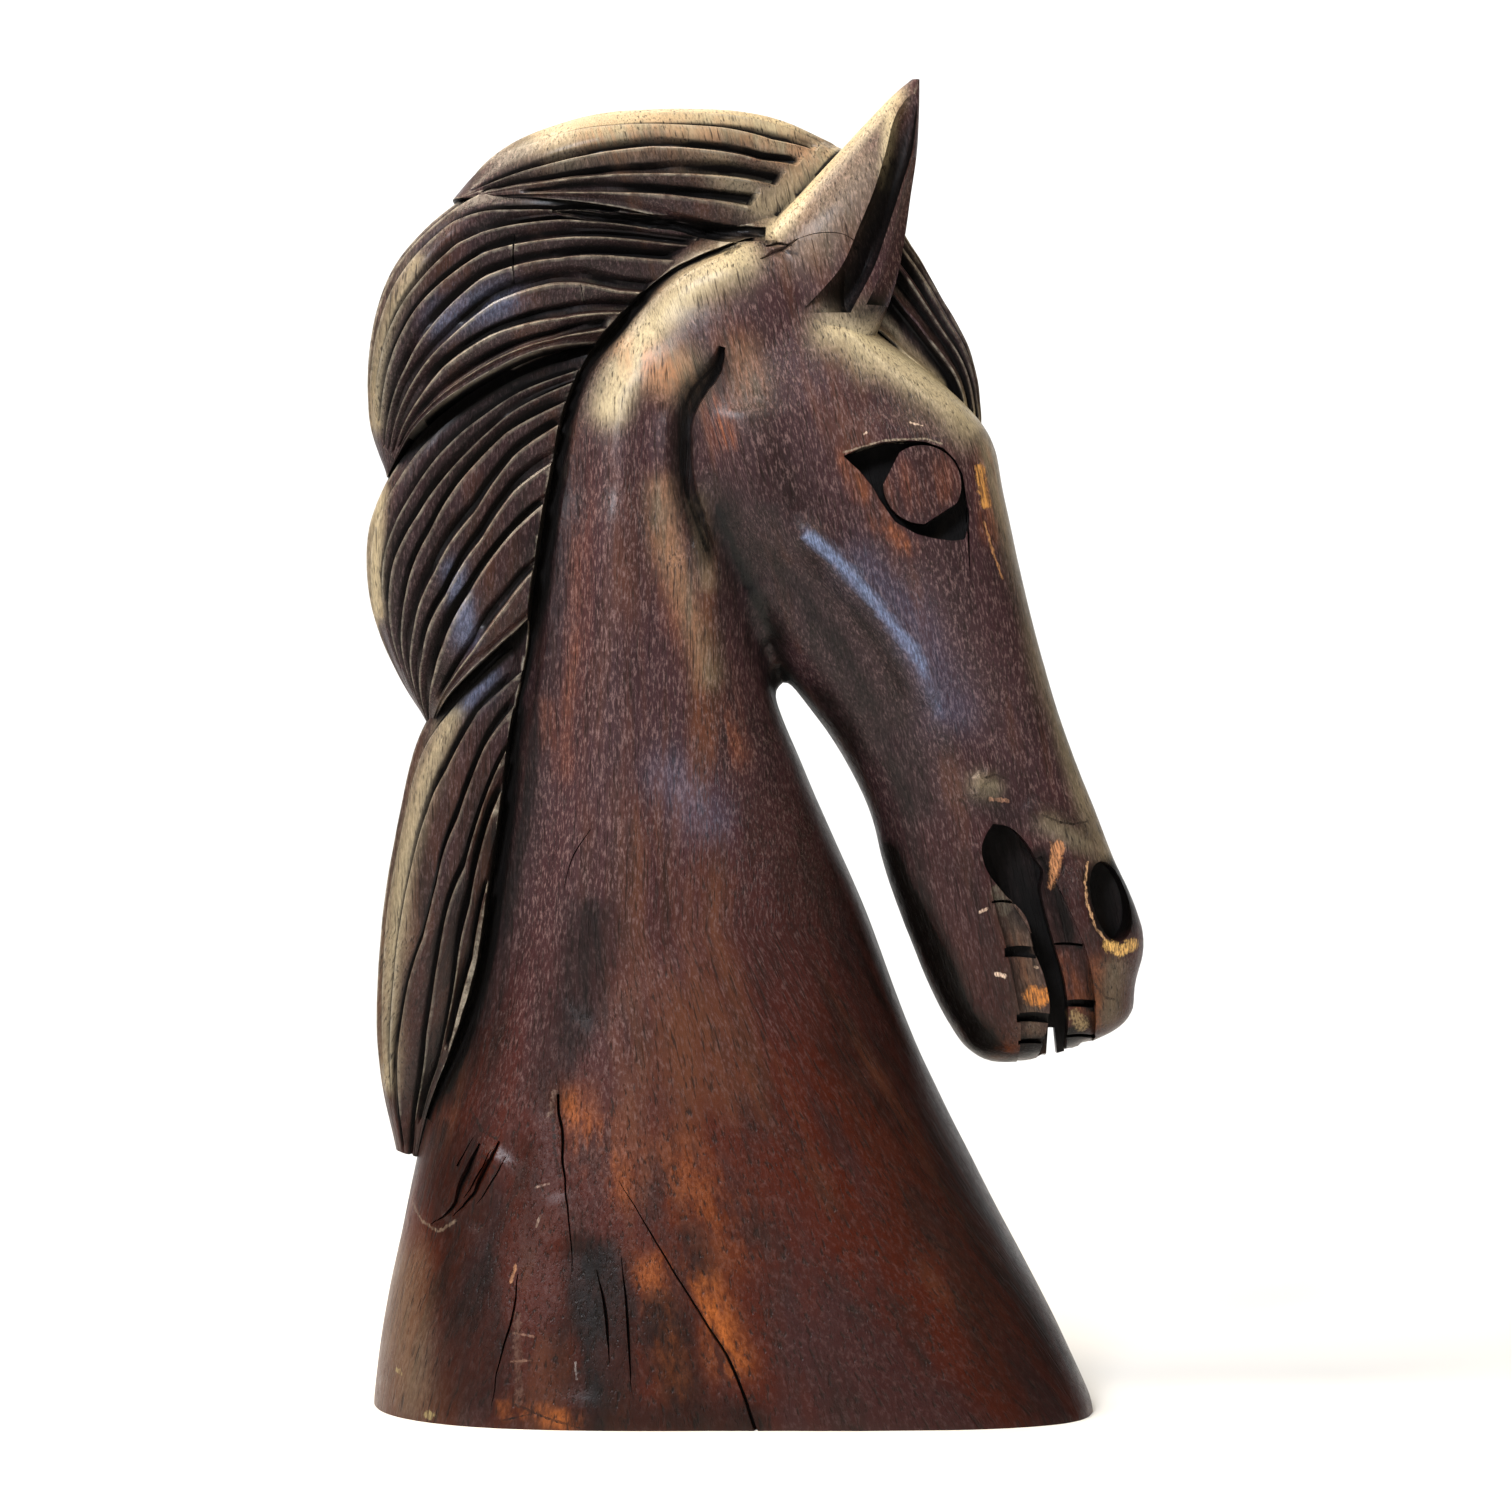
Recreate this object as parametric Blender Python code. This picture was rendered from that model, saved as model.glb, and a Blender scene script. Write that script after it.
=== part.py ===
"""Horse's head and neck carved from one log, cut flat across the foot of the neck.

The horse faces +X and stands on z = 0, with its middle plane at y = 0. Lengths are in metres.
The pose and the carving are laid out in shares: one share is a five-hundredth of the height.
"""

import math

import bmesh
import bpy
import numpy as np
from mathutils import Matrix

for leftover in list(bpy.data.objects):
    bpy.data.objects.remove(leftover, do_unlink=True)

# Driving dimensions
HEIGHT = 0.500  # foot to the tips of the ears
FOOT_HALF_WIDTH = 0.077
NECK_HALF_WIDTH = 0.046
HEAD_HALF_WIDTH = 0.044
MUZZLE_HALF_WIDTH = 0.028
MANE_HALF_WIDTH = 0.043
STRAND_GROOVE = 0.0045  # depth of the gouge cuts between the locks of hair
FORELOCK_HALF_WIDTH = 0.017
EAR_SPREAD = 0.029  # middle plane to the middle of an ear
EAR_THICKNESS = 0.026
EAR_WALL = 0.004
EYE_RADIUS = 0.0145
EYE_DEPTH = 0.007
CHEEK_GROOVE_WIDTH = 0.010
BORDER_CUT_WIDTH = 0.006  # rough gouge cut where the mane meets the neck
MOUTH_WEB = 0.008  # wood left between the two sides of the mouth
NOSTRIL_DEPTH = 0.012
TOOTH_GAP = 0.003
TOOTH_GAP_DEPTH = 0.003

# What follows from them
SHARES = 500
SHARE = HEIGHT / SHARES
OUTSIDE = 0.03  # how far a cutter starts outside the wood

# Finish
WOOD_COLOUR = (0.075, 0.036, 0.024, 1.0)
WOOD_ROUGHNESS = 0.38
CRISP_EDGE = math.radians(35)  # sharper edges than this stay crisp in the shading

# Neck, from the foot up: height, rear, widest place and front in shares, then the half width as a
# part of the foot's and of the neck's, and how square the front and the rear are
NECK = (
    (0, -135.5, -20, 138.5, 1.00, 0.00, 5.0, 2.9),
    (30, -132, -19, 125, 0.90, 0.06, 4.0, 2.8),
    (75, -123, -16, 101.5, 0.55, 0.46, 3.0, 2.6),
    (130, -112.5, -15, 74, 0.21, 0.84, 2.6, 2.4),
    (190, -104, -20, 51, 0.06, 1.00, 2.5, 2.3),
    (240, -98, -28, 29, 0.00, 1.00, 2.4, 2.3),
    (277, -93, -34, 16, 0.00, 0.97, 2.3, 2.3),
    (300, -90, -34, 16, 0.00, 0.96, 2.3, 2.3),
    (330, -86, -34, 18, 0.00, 0.95, 2.3, 2.3),
    (370, -76, -26, 24, 0.00, 0.94, 2.3, 2.3),
    (392, -65, -12, 36, 0.00, 0.93, 2.3, 2.3),
    (410, -52, 6, 46, 0.00, 0.91, 2.4, 2.3),
    (440, -30, 16, 50, 0.00, 0.78, 2.4, 2.3),
    (456, -6, 22, 44, 0.00, 0.50, 2.2, 2.2),
)
# Head, from the chin up: height, rear, widest place and front in shares, then the half width as a
# part of the muzzle's and of the head's, and how square the front and the rear are
HEAD = (
    (127.5, 99, 106, 114, 0.34, 0.00, 2.0, 2.0),
    (132, 92, 107, 129, 0.66, 0.00, 2.3, 2.2),
    (140, 86, 109, 148, 0.84, 0.00, 2.6, 2.3),
    (159, 76, 110, 156, 0.96, 0.00, 2.7, 2.3),
    (174, 70, 112, 159.5, 1.00, 0.00, 2.7, 2.2),
    (190, 64, 108, 155, 0.98, 0.00, 2.8, 2.2),
    (205, 59, 100, 148, 0.92, 0.00, 3.0, 2.2),
    (221, 55, 92, 142, 0.88, 0.00, 3.1, 2.2),
    (251, 40, 80, 130, 0.52, 0.30, 3.2, 2.2),
    (282, 17, 68, 120.5, 0.12, 0.70, 3.3, 2.6),
    (313, -1, 52, 112.5, 0.00, 0.90, 3.5, 3.6),
    (344, -16, 40, 105.5, 0.00, 1.00, 3.6, 5.0),
    (370, -26, 34, 98.5, 0.00, 1.00, 3.2, 5.5),
    (388, -20, 28, 81.5, 0.00, 0.96, 2.8, 4.0),
    (405, -6, 26, 60, 0.00, 0.88, 2.6, 2.6),
    (422, 8, 26, 40, 0.00, 0.74, 2.4, 2.3),
)

# Locks of the mane, top to bottom. Each has an outer edge over the crest, an inner edge on the
# side of the neck, both from root to tip in shares, then its half width from root to tip
MANE_LOCKS = {
    "crown": {
        "outer": ((44, 477), (15, 489), (-20, 492), (-59, 488.5), (-92, 473.5), (-106, 458)),
        "inner": ((16, 439), (-10, 444), (-42, 451), (-74, 455), (-102, 457)),
        "half_width": (0.66, 0.86, 0.94, 0.80, 0.42),
        "strands": 6,
    },
    "nape": {
        "outer": ((8, 470), (-60, 474), (-103, 457), (-128, 432), (-138, 396), (-137, 370), (-131, 352)),
        "inner": ((-38, 400), (-66, 398), (-96, 385), (-120, 367), (-130, 352)),
        "half_width": (1.00, 1.03, 1.00, 0.82, 0.30),
        "strands": 9,
    },
    "middle": {
        "outer": ((-38, 408), (-86, 392), (-122, 364), (-137.5, 334), (-137, 304), (-127, 277), (-115, 257)),
        "inner": ((-68, 302), (-80, 292), (-95, 279), (-108, 265), (-114, 255)),
        "half_width": (1.00, 1.02, 0.98, 0.76, 0.28),
        "strands": 8,
    },
    "lower": {
        "outer": ((-58, 318), (-96, 284), (-117, 256), (-126, 222), (-133, 180), (-133.5, 120), (-128, 94)),
        "inner": ((-82, 184), (-92, 158), (-103, 130), (-114, 108), (-119, 92)),
        "half_width": (0.96, 0.94, 0.82, 0.56, 0.24),
        "strands": 7,
    },
}
FORELOCK = {
    "outer": ((40, 468), (64, 444), (80, 420), (91.5, 398), (96, 378), (95.5, 364)),
    "inner": ((30, 432), (46, 416), (66, 398), (82, 384), (90, 366)),
    "half_width": (0.90, 1.00, 0.92, 0.70, 0.30),
    "strands": 4,
}

# Ear, from its root to its tip in shares: height, rear and front, then its thickness as a part of
# the ear's
EAR = (
    (404, 16, 58, 0.80),
    (424, 10, 63, 0.96),
    (443, 14, 67, 1.00),
    (458, 28, 69, 0.92),
    (472, 41, 71, 0.76),
    (486, 54, 71.8, 0.52),
    (496, 64, 72, 0.26),
    (500, 69, 72, 0.10),
)
# The hollow in it, in the same way
EAR_HOLLOW = (
    (412, 31, 60, 0.60),
    (424, 38, 63, 0.95),
    (443, 46, 66, 1.00),
    (458, 53, 68, 0.92),
    (472, 58, 70, 0.76),
    (486, 63, 71, 0.50),
    (494, 68, 72, 0.20),
)
EAR_WIDEST = 0.62  # where an ear is thickest, from its rear to its front
EAR_SQUARE = 2.6  # how square its front is, and below it how pointed its rear
EAR_REAR_SQUARE = 1.9
HOLLOW_OUT = 0.45  # how far the hollow lies outwards, in halves of the thickness
HOLLOW_OVER = 20  # how far the hollow runs out through the ear's front, in shares

# Carving on the sides, in shares along x and z
EYE_CENTRE = (72.5, 346.5)
EYE_OUTLINE = (
    (42, 357), (56, 362), (70, 364), (82, 360), (89, 350), (90.5, 338),
    (90, 324), (82, 325), (70, 328), (60, 336), (52, 347),
)  # fmt: skip
EYE_CHORD = ((66, 361), (58, 345))  # the eyeball is cut flat to the front of this line
CHEEK_GROOVE = ((-4, 399), (-16, 384), (-22, 364), (-19, 348), (-9, 332), (3, 312), (12, 294), (18, 280))
CHEEK_GROOVE_SIZES = (0.35, 0.80, 1.00, 1.00, 1.00, 0.95, 0.85, 0.75)
# The gouge cut along the edge of the mane
MANE_BORDER = (
    (10, 441), (-10, 427), (-26, 412), (-41, 397), (-53, 377), (-62, 352), (-68, 326),
    (-71, 298), (-74, 262), (-81, 222), (-90, 180), (-101, 140), (-114, 106),
)  # fmt: skip
MANE_BORDER_SIZES = (0.5, 1.0, 1.0, 1.0, 1.0, 1.0, 1.0, 0.6)
MOUTH_LINE = ((99, 222), (102, 208), (110, 191), (118, 175), (123, 159), (124, 144), (126, 120))
MOUTH_HALF_WIDTHS = (2.4, 8.0, 7.2, 5.4, 4.2, 3.8, 3.6)
MOUTH_THROUGH = ((122.5, 141), (125, 141), (127, 120), (121, 120))  # here the slot runs right through
LOWER_TOOTH_GAPS = ((98, 191, 11), (107, 170, 18), (114, 144, 14))  # middle and length of each
UPPER_TOOTH_GAPS = ((129, 174, 9), (133, 151, 11))
NOSTRIL_CENTRE = (145, 190)
NOSTRIL_HALF_LENGTH = 15.5
NOSTRIL_HALF_HEIGHT = 8.5
NOSTRIL_TILT = math.radians(14)
NOSTRIL_LEAN = -0.55  # how far the nostril slants back for each length that it goes in

# How the locks are rounded, and how far their gouge cuts may reach
ROUND_AT_ROOT = 0.4
ROUND_TOWARDS_TIP = 0.5
SHOULDER = 0.24  # share of a strand that slopes down into each gouge cut
STEEPEST_CUT = 1.1  # depth of a cut for each width of its slope

# How finely the forms are faceted
NECK_RINGS = 22
HEAD_RINGS = 28
RING_POINTS = 28
LOCK_ROWS = 9
FORELOCK_ROWS = 6
EAR_RINGS = 12
EAR_POINTS = 14
GROOVE_POINTS = 6
GROOVE_ROWS = 12
BORDER_ROWS = 14
EYE_POINTS = 24
NEAR = 1e-7  # points this near to each other are one
HAIR = 3e-5  # facets narrower than this are closed up
LEVEL = math.radians(0.5)  # facets that lie this flat to each other are one


def smooth_rows(rows, keys):
    """Rows between the listed ones, by a smooth curve; the first number of a row is its key."""
    rows = np.asarray(rows, dtype=float)
    stations = rows[:, 0]
    slopes = np.gradient(rows, stations, axis=0)
    first = np.clip(np.searchsorted(stations, keys, side="right") - 1, 0, len(stations) - 2)
    gap = (stations[first + 1] - stations[first])[:, None]
    t = (np.asarray(keys, dtype=float) - stations[first])[:, None] / gap
    ahead = t * t * (3 - 2 * t)
    return (
        (1 - ahead) * rows[first]
        + ahead * rows[first + 1]
        + gap * t * (1 - t) ** 2 * slopes[first]
        - gap * t * t * (1 - t) * slopes[first + 1]
    )


def curve_through(points, at):
    """Points of a smooth curve through the listed points, at fractions of its length."""
    points = np.asarray(points, dtype=float)
    if points.ndim == 1:
        points = points[:, None]
        way = np.linspace(0.0, 1.0, len(points))
    else:
        steps = np.linalg.norm(np.diff(points, axis=0), axis=1)
        way = np.concatenate(([0.0], np.cumsum(steps))) / steps.sum()
    return smooth_rows(np.column_stack((way, points)), at)[:, 1:]


def new_object(name, form):
    """An object that holds the finished bmesh, all in flat facets for the cuts that follow."""
    bmesh.ops.triangulate(form, faces=form.faces[:])
    mesh = bpy.data.meshes.new(name)
    form.to_mesh(mesh)
    form.free()
    obj = bpy.data.objects.new(name, mesh)
    bpy.context.scene.collection.objects.link(obj)
    return obj


def skin(name, rings):
    """A closed body through rings of points: a grid laid on them, its seam merged, its ends filled."""
    rows, columns = rings.shape[:2]
    form = bmesh.new()
    bmesh.ops.create_grid(form, x_segments=columns, y_segments=rows - 1, size=1.0)
    for vert in form.verts:
        column = round((vert.co.x + 1) / 2 * columns) % columns
        row = round((vert.co.y + 1) / 2 * (rows - 1))
        vert.co = rings[row, column]
    bmesh.ops.remove_doubles(form, verts=form.verts[:], dist=NEAR)
    open_edges = [edge for edge in form.edges if edge.is_boundary]
    bmesh.ops.holes_fill(form, edges=open_edges, sides=0)
    bmesh.ops.recalc_face_normals(form, faces=form.faces[:])
    return new_object(name, form)


def plate(name, outline, lowest, highest, lean=0.0):
    """A flat outline in x and z, in shares, drawn out along y between two places in metres."""
    form = bmesh.new()
    corners = [form.verts.new((x * SHARE, lowest, z * SHARE)) for x, z in outline]
    face = form.faces.new(corners)
    drawn = bmesh.ops.extrude_face_region(form, geom=[face])
    moved = [item for item in drawn["geom"] if isinstance(item, bmesh.types.BMVert)]
    thickness = highest - lowest
    bmesh.ops.translate(form, vec=(lean * thickness, thickness, 0), verts=moved)
    bmesh.ops.recalc_face_normals(form, faces=form.faces[:])
    return new_object(name, form)


def tidy_edges(obj):
    """Closes up the hair-thin facets that a cut leaves."""
    form = bmesh.new()
    form.from_mesh(obj.data)
    bmesh.ops.dissolve_degenerate(form, edges=form.edges[:], dist=HAIR)
    bmesh.ops.remove_doubles(form, verts=form.verts[:], dist=HAIR)
    form.to_mesh(obj.data)
    form.free()


def merge_flat_facets(obj):
    """Merges the facets that lie in one plane, where the joins and the cuts have split them."""
    form = bmesh.new()
    form.from_mesh(obj.data)
    bmesh.ops.dissolve_limit(form, angle_limit=LEVEL, verts=form.verts[:], edges=form.edges[:])
    form.to_mesh(obj.data)
    form.free()


def combine(target, tool, operation):
    """Joins the tool to the target, or cuts it out, and removes the tool."""
    boolean = target.modifiers.new(tool.name, "BOOLEAN")
    boolean.operation = operation
    boolean.solver = "MANIFOLD"  # the exact solver tears the wood open where the locks graze it
    boolean.object = tool
    with bpy.context.temp_override(object=target, active_object=target, selected_objects=[target]):
        bpy.ops.object.modifier_apply(modifier=boolean.name)
    bpy.data.objects.remove(tool, do_unlink=True)
    tidy_edges(target)


def mirrored(obj):
    """The same form on the other side of the middle plane."""
    form = bmesh.new()
    form.from_mesh(obj.data)
    bmesh.ops.transform(form, matrix=Matrix.Scale(-1, 4, (0, 1, 0)), verts=form.verts[:])
    bmesh.ops.reverse_faces(form, faces=form.faces[:])
    return new_object(obj.name + "_far", form)


def cut_both_sides(target, cutter):
    """Cuts the near side and the far side alike."""
    combine(target, mirrored(cutter), "DIFFERENCE")
    combine(target, cutter, "DIFFERENCE")


def section(angles, rear, wide, front, half_width, front_square, rear_square):
    """Points in x and y round a level section, boxier where its squareness is greater than 2."""
    cosines = np.cos(angles)
    sines = np.sin(angles)
    power = 2 / np.where(cosines > 0, front_square, rear_square)
    reach = np.where(cosines > 0, front - wide, wide - rear)
    x = wide + reach * np.sign(cosines) * np.abs(cosines) ** power
    y = half_width * np.sign(sines) * np.abs(sines) ** power
    return x, y


def lofted(name, stations, ring_count, low_width, high_width):
    """A body through level sections, with more of them where the stations are close."""
    listed = [row[0] for row in stations]
    heights = np.interp(np.linspace(0, len(listed) - 1, ring_count), range(len(listed)), listed)
    angles = (np.arange(RING_POINTS) + 0.5) * 2 * math.pi / RING_POINTS
    rings = np.zeros((ring_count, RING_POINTS, 3))
    for ring, row in zip(rings, smooth_rows(stations, heights)):
        height, rear, wide, front, low_part, high_part, front_square, rear_square = row
        half_width = low_part * low_width + high_part * high_width
        x, y = section(angles, rear, wide, front, half_width, front_square, rear_square)
        ring[:, 0] = x * SHARE
        ring[:, 1] = y
        ring[:, 2] = height * SHARE
    return skin(name, rings)


def side_of(stations, low_width, high_width, x, height):
    """How far the wood reaches from the middle plane at a place given in shares."""
    row = smooth_rows(stations, np.atleast_1d(float(height)))[0]
    _, rear, wide, front, low_part, high_part, front_square, rear_square = row
    half_width = low_part * low_width + high_part * high_width
    square = front_square if x > wide else rear_square
    reach = (front if x > wide else rear) - wide
    return half_width * max(0.0, 1 - abs((x - wide) / reach) ** square) ** (1 / square)


def side_of_neck(x, height):
    """How far the neck reaches from the middle plane."""
    return side_of(NECK, FOOT_HALF_WIDTH, NECK_HALF_WIDTH, x, height)


def side_of_head(x, height):
    """How far the head reaches from the middle plane."""
    return side_of(HEAD, MUZZLE_HALF_WIDTH, HEAD_HALF_WIDTH, x, height)


def lock_surface(lock, across, along, widest):
    """Places on a lock that wraps the crest: across runs from -1 to 1, along from root to tip."""
    outer = curve_through(lock["outer"], along) * SHARE
    inner = curve_through(lock["inner"], along) * SHARE
    half_width = curve_through(lock["half_width"], along)[:, 0] * widest
    turn = np.abs(across) * math.pi / 2
    inward = (1 - np.cos(turn))[None, :, None]
    side = outer[:, None, :] * (1 - inward) + inner[:, None, :] * inward
    roundness = (ROUND_AT_ROOT + ROUND_TOWARDS_TIP * along)[:, None]
    y = np.sign(across) * half_width[:, None] * np.sin(turn)[None, :] ** roundness
    return np.stack((side[..., 0], y, side[..., 1]), axis=-1)


def outward(places):
    """The direction straight out of a grid of places."""
    down = np.gradient(places, axis=0)
    over = np.gradient(places, axis=1)
    out = np.cross(over, down)
    return out / np.maximum(np.linalg.norm(out, axis=-1, keepdims=True), NEAR)


def lock_of_hair(name, lock, rows, widest):
    """A lock with a strand along the crest and others to each side, parted by gouge cuts."""
    strands = 2 * lock["strands"] - 1
    marks = [np.array((strand, strand + SHOULDER, strand + 1 - SHOULDER)) for strand in range(strands)]
    marks = np.concatenate(marks)[1:]
    across = marks / strands * 2 - 1
    in_cut = np.isclose(marks % 1, 0)
    along = np.linspace(0, 1, rows)
    places = lock_surface(lock, across, along, widest)
    steps = np.linalg.norm(np.gradient(places, axis=1), axis=-1)
    depth = np.minimum(STRAND_GROOVE, STEEPEST_CUT * steps) * in_cut
    rings = places - outward(places) * depth[..., None]
    return skin(name, rings)


def ear_body(name, stations, front_over, width_part, out_part):
    """A leaf through level sections of the near ear, or of the hollow in it."""
    heights = np.linspace(stations[0][0], stations[-1][0], EAR_RINGS)
    angles = np.linspace(0, 2 * math.pi, EAR_POINTS, endpoint=False)
    rings = np.zeros((EAR_RINGS, EAR_POINTS, 3))
    for ring, row in zip(rings, smooth_rows(stations, heights)):
        height, rear, front, thick_part = row
        half_width = thick_part * EAR_THICKNESS / 2 * width_part
        widest = rear + (front - rear) * EAR_WIDEST
        ends = (rear, widest, front + front_over)
        x, y = section(angles, *ends, half_width, EAR_SQUARE, EAR_REAR_SQUARE)
        ring[:, 0] = x * SHARE
        ring[:, 1] = y - EAR_SPREAD - out_part * EAR_THICKNESS / 2
        ring[:, 2] = height * SHARE
    return skin(name, rings)


def ear_pair():
    """Both ears, each a leaf with a hollow that opens to the front and outwards."""
    near = ear_body("ear", EAR, 0, 1.0, 0.0)
    hollow_part = 1 - EAR_WALL / EAR_THICKNESS * 2
    hollow = ear_body("hollow", EAR_HOLLOW, HOLLOW_OVER, hollow_part, HOLLOW_OUT)
    combine(near, hollow, "DIFFERENCE")
    combine(near, mirrored(near), "UNION")
    return near


def body_of_wood():
    """Neck and head as one."""
    neck = lofted("horse_head", NECK, NECK_RINGS, FOOT_HALF_WIDTH, NECK_HALF_WIDTH)
    head = lofted("head", HEAD, HEAD_RINGS, MUZZLE_HALF_WIDTH, HEAD_HALF_WIDTH)
    combine(neck, head, "UNION")
    return neck


def gouge(name, line, sizes, width, rows, side):
    """A round-bottomed cutter that follows a line in shares over the near side of the wood."""
    at = np.linspace(0, 1, rows)
    middle = curve_through(line, at)
    radii = curve_through(sizes, at)[:, 0] * width / 2
    ahead = np.gradient(middle, axis=0)
    ahead /= np.linalg.norm(ahead, axis=1, keepdims=True)
    angles = np.linspace(0, 2 * math.pi, GROOVE_POINTS, endpoint=False)
    rings = np.zeros((rows, GROOVE_POINTS, 3))
    for ring, centre, radius, way in zip(rings, middle, radii, ahead):
        ring[:, 0] = centre[0] * SHARE - radius * np.cos(angles) * way[1]
        ring[:, 1] = radius * np.sin(angles) - side(*centre)
        ring[:, 2] = centre[1] * SHARE + radius * np.cos(angles) * way[0]
    return skin(name, rings)


def cheek_and_neck(x, height):
    """The outer one of the neck's side and the head's."""
    on_head = HEAD[0][0] <= height <= HEAD[-1][0]
    return max(side_of_neck(x, height), side_of_head(x, height) if on_head else 0.0)


def ellipse(centre, half_length, half_height, tilt, count):
    """Points of a tilted ellipse that stands on end, in shares."""
    points = []
    for step in range(count):
        angle = 2 * math.pi * step / count
        along = half_length * math.cos(angle)
        over = half_height * math.sin(angle)
        x = centre[0] + over * math.cos(tilt) - along * math.sin(tilt)
        z = centre[1] + along * math.cos(tilt) + over * math.sin(tilt)
        points.append((x, z))
    return points


def eye_cutter():
    """The hollow round the eyeball, which stays standing in it."""
    surface = side_of_head(*EYE_CENTRE)
    hollow = plate("eye", EYE_OUTLINE, -surface - OUTSIDE, EYE_DEPTH - surface)
    radius = EYE_RADIUS / SHARE
    high, low = EYE_CHORD
    slope = (high[0] - low[0]) / (high[1] - low[1])
    ball = []
    for x, z in ellipse(EYE_CENTRE, radius, radius, 0.0, EYE_POINTS):
        ball.append((max(x, low[0] + slope * (z - low[1])), z))
    combine(hollow, plate("eyeball", ball, -surface - 2 * OUTSIDE, 2 * EYE_DEPTH - surface), "DIFFERENCE")
    return hollow


def mouth_cutter():
    """The slot between the jaws, down to the web in the middle."""
    at = np.linspace(0, 1, len(MOUTH_LINE) * 2 - 1)
    middle = curve_through(MOUTH_LINE, at)
    half = curve_through(MOUTH_HALF_WIDTHS, at)
    ahead = np.gradient(middle, axis=0)
    ahead /= np.linalg.norm(ahead, axis=1, keepdims=True)
    over = np.column_stack((-ahead[:, 1], ahead[:, 0]))
    outline = np.concatenate((middle + half * over, (middle - half * over)[::-1]))
    return plate("mouth", outline, -MUZZLE_HALF_WIDTH - OUTSIDE, -MOUTH_WEB / 2)


def nostril_cutter():
    """The slanting hole of the near nostril."""
    surface = side_of_head(*NOSTRIL_CENTRE)
    outside = (NOSTRIL_CENTRE[0] - NOSTRIL_LEAN * OUTSIDE / SHARE, NOSTRIL_CENTRE[1])
    rim = ellipse(outside, NOSTRIL_HALF_LENGTH, NOSTRIL_HALF_HEIGHT, NOSTRIL_TILT, EYE_POINTS)
    return plate("nostril", rim, -surface - OUTSIDE, NOSTRIL_DEPTH - surface, NOSTRIL_LEAN)


def tooth_gap_cutters():
    """Short level cuts that part the teeth, above and below the slot."""
    half = TOOTH_GAP / SHARE / 2
    for x, z, length in LOWER_TOOTH_GAPS + UPPER_TOOTH_GAPS:
        ends = (x - length / 2, x + length / 2)
        outline = ((ends[0], z - half), (ends[1], z - half), (ends[1], z + half), (ends[0], z + half))
        surface = side_of_head(x, z)
        yield plate("tooth_gap", outline, -surface - OUTSIDE, TOOTH_GAP_DEPTH - surface)


def horse_head():
    """The whole carving."""
    wood = body_of_wood()
    border = gouge("border", MANE_BORDER, MANE_BORDER_SIZES, BORDER_CUT_WIDTH, BORDER_ROWS, side_of_neck)
    cut_both_sides(wood, border)
    for name, lock in MANE_LOCKS.items():
        combine(wood, lock_of_hair(name, lock, LOCK_ROWS, MANE_HALF_WIDTH), "UNION")
    combine(wood, lock_of_hair("forelock", FORELOCK, FORELOCK_ROWS, FORELOCK_HALF_WIDTH), "UNION")
    combine(wood, ear_pair(), "UNION")
    groove = gouge(
        "groove", CHEEK_GROOVE, CHEEK_GROOVE_SIZES, CHEEK_GROOVE_WIDTH, GROOVE_ROWS, cheek_and_neck
    )
    cut_both_sides(wood, groove)
    cut_both_sides(wood, eye_cutter())
    cut_both_sides(wood, mouth_cutter())
    cut_both_sides(wood, nostril_cutter())
    for cutter in tooth_gap_cutters():
        cut_both_sides(wood, cutter)
    jaws_apart = plate("jaws", MOUTH_THROUGH, -MUZZLE_HALF_WIDTH - OUTSIDE, MUZZLE_HALF_WIDTH + OUTSIDE)
    combine(wood, jaws_apart, "DIFFERENCE")
    merge_flat_facets(wood)
    return wood


def dress(wood):
    """Gives the carving its dark stain, and smooth shading between its crisp edges."""
    stain = bpy.data.materials.new("stained_wood")
    stain.use_nodes = True
    shader = stain.node_tree.nodes["Principled BSDF"]
    shader.inputs["Base Color"].default_value = WOOD_COLOUR
    shader.inputs["Roughness"].default_value = WOOD_ROUGHNESS
    shader.inputs["Metallic"].default_value = 0.0
    wood.data.materials.append(stain)
    wood.data.shade_smooth()
    wood.data.set_sharp_from_angle(angle=CRISP_EDGE)


dress(horse_head())
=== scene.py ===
"""Looks of a wooden horse sculpture: head and neck carved from one log, stained dark and waxed.

The carving is modelled finer than its solid, in the same place: the horse faces +X, its middle
plane is y = 0, and it stands on z = 0. The near side is the one at negative y. Places on the sides
are given in millimetres, as (x, z).
"""

import logging
import math
from collections.abc import Callable, Iterator
from dataclasses import dataclass, field
from enum import Enum

import bmesh
import bpy
import numpy as np
from mathutils import Matrix, Vector, noise
from mathutils.bvhtree import BVHTree


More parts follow.
